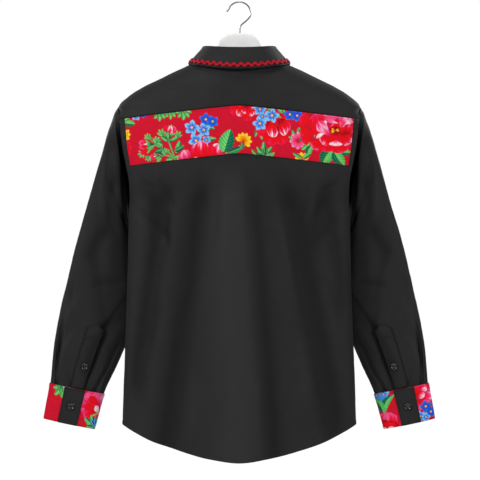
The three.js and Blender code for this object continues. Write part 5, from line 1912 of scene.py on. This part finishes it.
# Instances one stitch on each point of a mesh, turned to its own directions.
def stitchNodes():
    group = bpy.data.node_groups.new("stitches", "GeometryNodeTree")
    face = group.interface
    face.new_socket("Geometry", in_out="INPUT", socket_type="NodeSocketGeometry")
    for name in ("Stitch Length", "Stitch Width", "Unevenness"):
        face.new_socket(name, in_out="INPUT", socket_type="NodeSocketFloat")
    face.new_socket("Seed", in_out="INPUT", socket_type="NodeSocketInt")
    face.new_socket("Thread", in_out="INPUT", socket_type="NodeSocketMaterial")
    face.new_socket("Geometry", in_out="OUTPUT", socket_type="NodeSocketGeometry")
    kinds = {
        "in": "NodeGroupInput",
        "out": "NodeGroupOutput",
        "ball": "GeometryNodeMeshIcoSphere",
        "size": "ShaderNodeCombineXYZ",
        "shape": "GeometryNodeTransform",
        "along": "GeometryNodeInputNamedAttribute",
        "up": "GeometryNodeInputNamedAttribute",
        "turn": "FunctionNodeAxesToRotation",
        "less": "ShaderNodeMath",
        "more": "ShaderNodeMath",
        "vary": "FunctionNodeRandomValue",
        "place": "GeometryNodeInstanceOnPoints",
        "real": "GeometryNodeRealizeInstances",
        "paint": "GeometryNodeSetMaterial",
    }
    made = {name: group.nodes.new(kind) for name, kind in kinds.items()}
    for name, setting, value in (
        ("along", "data_type", "FLOAT_VECTOR"),
        ("up", "data_type", "FLOAT_VECTOR"),
        ("turn", "primary_axis", "X"),
        ("turn", "secondary_axis", "Z"),
        ("less", "operation", "SUBTRACT"),
        ("more", "operation", "ADD"),
        ("vary", "data_type", "FLOAT"),
    ):
        setattr(made[name], setting, value)
    for name, socket, value in (
        ("ball", "Radius", 0.5),
        ("ball", "Subdivisions", 1),
        ("along", "Name", "along"),
        ("up", "Name", "up"),
        ("less", 0, 1.0),
        ("more", 0, 1.0),
    ):
        made[name].inputs[socket].default_value = value
    for source, output, target, socket in (
        ("in", "Stitch Length", "size", 0),
        ("in", "Stitch Width", "size", 1),
        ("in", "Stitch Width", "size", 2),
        ("ball", "Mesh", "shape", "Geometry"),
        ("size", 0, "shape", "Scale"),
        ("along", 0, "turn", 0),
        ("up", 0, "turn", 1),
        ("in", "Unevenness", "less", 1),
        ("in", "Unevenness", "more", 1),
        ("less", 0, "vary", 2),
        ("more", 0, "vary", 3),
        ("in", "Seed", "vary", "Seed"),
        ("in", "Geometry", "place", "Points"),
        ("shape", "Geometry", "place", "Instance"),
        ("turn", 0, "place", "Rotation"),
        ("vary", 1, "place", "Scale"),
        ("place", "Instances", "real", "Geometry"),
        ("real", "Geometry", "paint", "Geometry"),
        ("in", "Thread", "paint", "Material"),
        ("paint", "Geometry", "out", "Geometry"),
    ):
        group.links.new(made[source].outputs[output], made[target].inputs[socket])
    return group


stitchGroup = stitchNodes()


def stitches(name, lines, thread):
    place, along, up = (np.concatenate([line[k] for line in lines]) for k in range(3))
    obj = makeMesh(name, place + up * 0.08, [])
    for key, values in (("along", along), ("up", up)):
        obj.data.attributes.new(key, "FLOAT_VECTOR", "POINT").data.foreach_set("vector", values.ravel())
    modifier = obj.modifiers.new("stitches", "NODES")
    modifier.node_group = stitchGroup
    for item in stitchGroup.interface.items_tree:
        if item.in_out == "INPUT" and item.name in stitchLook:
            modifier[item.identifier] = stitchLook[item.name]
        if item.in_out == "INPUT" and item.name == "Thread":
            modifier[item.identifier] = thread
    bpy.context.view_layer.update()
    depsgraph = bpy.context.evaluated_depsgraph_get()
    baked = bpy.data.meshes.new_from_object(obj.evaluated_get(depsgraph), depsgraph=depsgraph)
    obj.modifiers.remove(modifier)
    obj.data = baked
    baked.polygons.foreach_set("use_smooth", np.ones(len(baked.polygons), bool))
    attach(obj, "root")
    return obj


def threadMaterial(name, colour):
    material, wire, shader = newMaterial(name, {"Specular IOR Level": 0.15})
    place = wire.node("ShaderNodeTexCoord", out=3)
    twist = noise(wire, place, 1400.0, 1.0)
    dark, light = tones(colour, 0.7, 1.3)
    link(wire, mixColours(wire, twist, dark, light), shader, "Base Color")
    link(wire, 0.55 + (twist - 0.5) * 0.3, shader, "Roughness")
    return material


blackThread = threadMaterial("blackThread", (0.0065, 0.0065, 0.007))
wineThread = threadMaterial("wineThread", (0.55, 0.012, 0.034))
redThread = threadMaterial("redThread", (0.36, 0.004, 0.014))
# Seams: the piece, its edge, how far in, and how much shorter at each end.
bodySeams = [
    ("backPanel", "bottom", body["hemStitch"], 4, 4),
    ("frontLeft", "bottom", body["hemStitch"], 4, 2),
    ("frontRight", "bottom", body["hemStitch"], 4, 2),
    ("backPanel", "left", 8.5, 3, 420),
    ("backPanel", "right", 8.5, 3, 420),
    ("frontLeft", "left", 8.5, 3, 420),
    ("frontRight", "left", 8.5, 3, 420),
    ("frontPlacket", "left", 4, 3, 3),
    ("frontPlacket", "right", 4, 3, 3),
    ("shoulderYoke", "bottom", 2.2, 2, 2),
    ("collarStand", "top", 3, 4, 4),
    ("collarFall", "bottom", 1.8, 6, 6),
]
sleeveSeams = [
    ("cuffStrip", "left", 3, 2, 2),
    ("cuffStrip", "right", 3, 2, 2),
    ("cuffStrip", "top", 3, 3, 3),
    ("cuffStrip", "bottom", 3, 3, 3),
    ("sleevePlacket", "left", 2.4, 5, 2),
    ("sleevePlacket", "right", 2.4, 5, 2),
    ("sleevePlacket", "top", 2.4, 2, 2),
    ("sleevePlacket", "top", placket["crossSeam"] - 1.6, 2, 2),
]
bodyStitches = [edgeLine(*row) for row in bodySeams]
sleeveStitches = []
for side in sides:
    sleeveStitches += [edgeLine(piece + side, *row) for piece, *row in sleeveSeams]
    downs = np.linspace(24, 548, 300)
    rows = np.interp(downs, sleeveDowns, np.arange(len(sleeveDowns)))
    cols = (seamTurn(downs) - 6.5 / arm["roundWidth"]) * len(sleeveShares) / 2
    sleeveStitches.append(surfaceLine("sleeve" + side, rows, cols))
stitches("bodyStitches", bodyStitches, blackThread)
stitches("sleeveStitches", sleeveStitches, blackThread)
printStitches = [edgeLine("floralBand", edge, 3.4, 3, 3) for edge in ("top", "bottom", "left", "right")]
for side in sides:
    printStitches += [edgeLine("cuff" + side, edge, 3.4) for edge in ("top", "bottom")]
stitches("printStitches", printStitches, wineThread)
braidPlace, braidOut = fallAt(np.linspace(0.02, 0.98, 900), np.full(900, ricrac["above"]))
stitches("braidStitches", [trimmed(braidPlace + braidOut * 2.1, braidOut, 6, 6)], redThread)
print("stage: stitches")

# Which piece stands for which node.
blackPieces.update(
    backPanel=backPiece,
    frontLeft=frontLeft,
    frontRight=frontRight,
    frontPlacket=frontPlacket,
    shoulderYoke=yokePiece,
    collarStand=collarStand,
    collarFall=collarFall,
)


def nodeName(piece):
    return "".join(letter if letter.islower() else "_" + letter.lower() for letter in piece)


# A piece stands for the node of its own name, but for these.
otherNodes = {"shoulderYoke": ["yoke"], "wireHook": ["hook"], "coatHanger": ["hanger"]}
for side in ("left", "right"):
    otherNodes["sleeve" + side.capitalize()] = [f"sleeve_{side}", f"sleeve_under_{side}"]


def dress(piece, material):
    piece.data.materials.clear()
    piece.data.materials.append(material)
    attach(piece, "root")
    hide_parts(*otherNodes.get(piece.name, [nodeName(piece.name)]))


for piece in blackPieces.values():
    dress(piece, blackCotton)
for piece in rosePieces.values():
    dress(piece, roseCotton)
dress(ricracBraid, redBraid)
dress(hookPiece, hookSteel)
for piece in buttonPieces:
    dress(piece, buttonPlastic)
dress(hangerPiece, hangerPlastic)

# Floor, light and camera.
floorMesh = bpy.data.meshes.new("floor")
floorRim = [(3.4 * math.cos(t), 3.4 * math.sin(t), -1.55) for t in ringTurns(96)]
floorMesh.from_pydata(floorRim, [], [tuple(range(len(floorRim)))])
floorDisc = bpy.data.objects.new("floor", floorMesh)
bpy.context.collection.objects.link(floorDisc)
floorMesh.materials.append(newMaterial("floor", {"Roughness": 0.9, "Base Color": (0.85, 0.85, 0.85, 1)})[0])

world = bpy.data.worlds.new("studio")
bpy.context.scene.world = world
world.use_nodes = True
worldTree = world.node_tree
backdrop = worldTree.nodes["Background"]
seen = worldTree.nodes.new("ShaderNodeLightPath")
strength = Wire(worldTree, seen.outputs["Is Camera Ray"]) * 0.9 + 0.12
worldTree.links.new(strength.socket, backdrop.inputs["Strength"])
backdrop.inputs["Color"].default_value = (1, 1, 1, 1)


def areaLight(name, place, target, size, power):
    data = bpy.data.lights.new(name, "AREA")
    data.shape = "DISK"
    data.size = size
    data.energy = power
    light = bpy.data.objects.new(name, data)
    light.location = place
    light.rotation_euler = (Vector(target) - Vector(place)).to_track_quat("-Z", "Y").to_euler()
    bpy.context.collection.objects.link(light)


areaLight("key", (2.7, 2.2, 1.2), (0, 0, -0.45), 1.0, 78)
areaLight("fill", (-2.7, 2.3, 0.8), (0, 0, -0.45), 1.0, 50)
areaLight("top", (0.0, 1.3, 2.6), (0, 0, -0.2), 1.0, 30)
areaLight("frontKey", (-2.7, -2.2, 1.2), (0, 0, -0.45), 1.0, 78)
areaLight("frontFill", (2.7, -2.3, 0.8), (0, 0, -0.45), 1.0, 50)
bpy.context.scene.view_settings.view_transform = "Standard"

cameraData = bpy.data.cameras.new("camera")
cameraData.lens = 134.6
camera = bpy.data.objects.new("camera", cameraData)
camera.location = (-0.0014, 3.5, -0.4627)
camera.rotation_euler = (half, 0, math.pi)
bpy.context.collection.objects.link(camera)
bpy.context.scene.camera = camera
print("stage: light and camera")
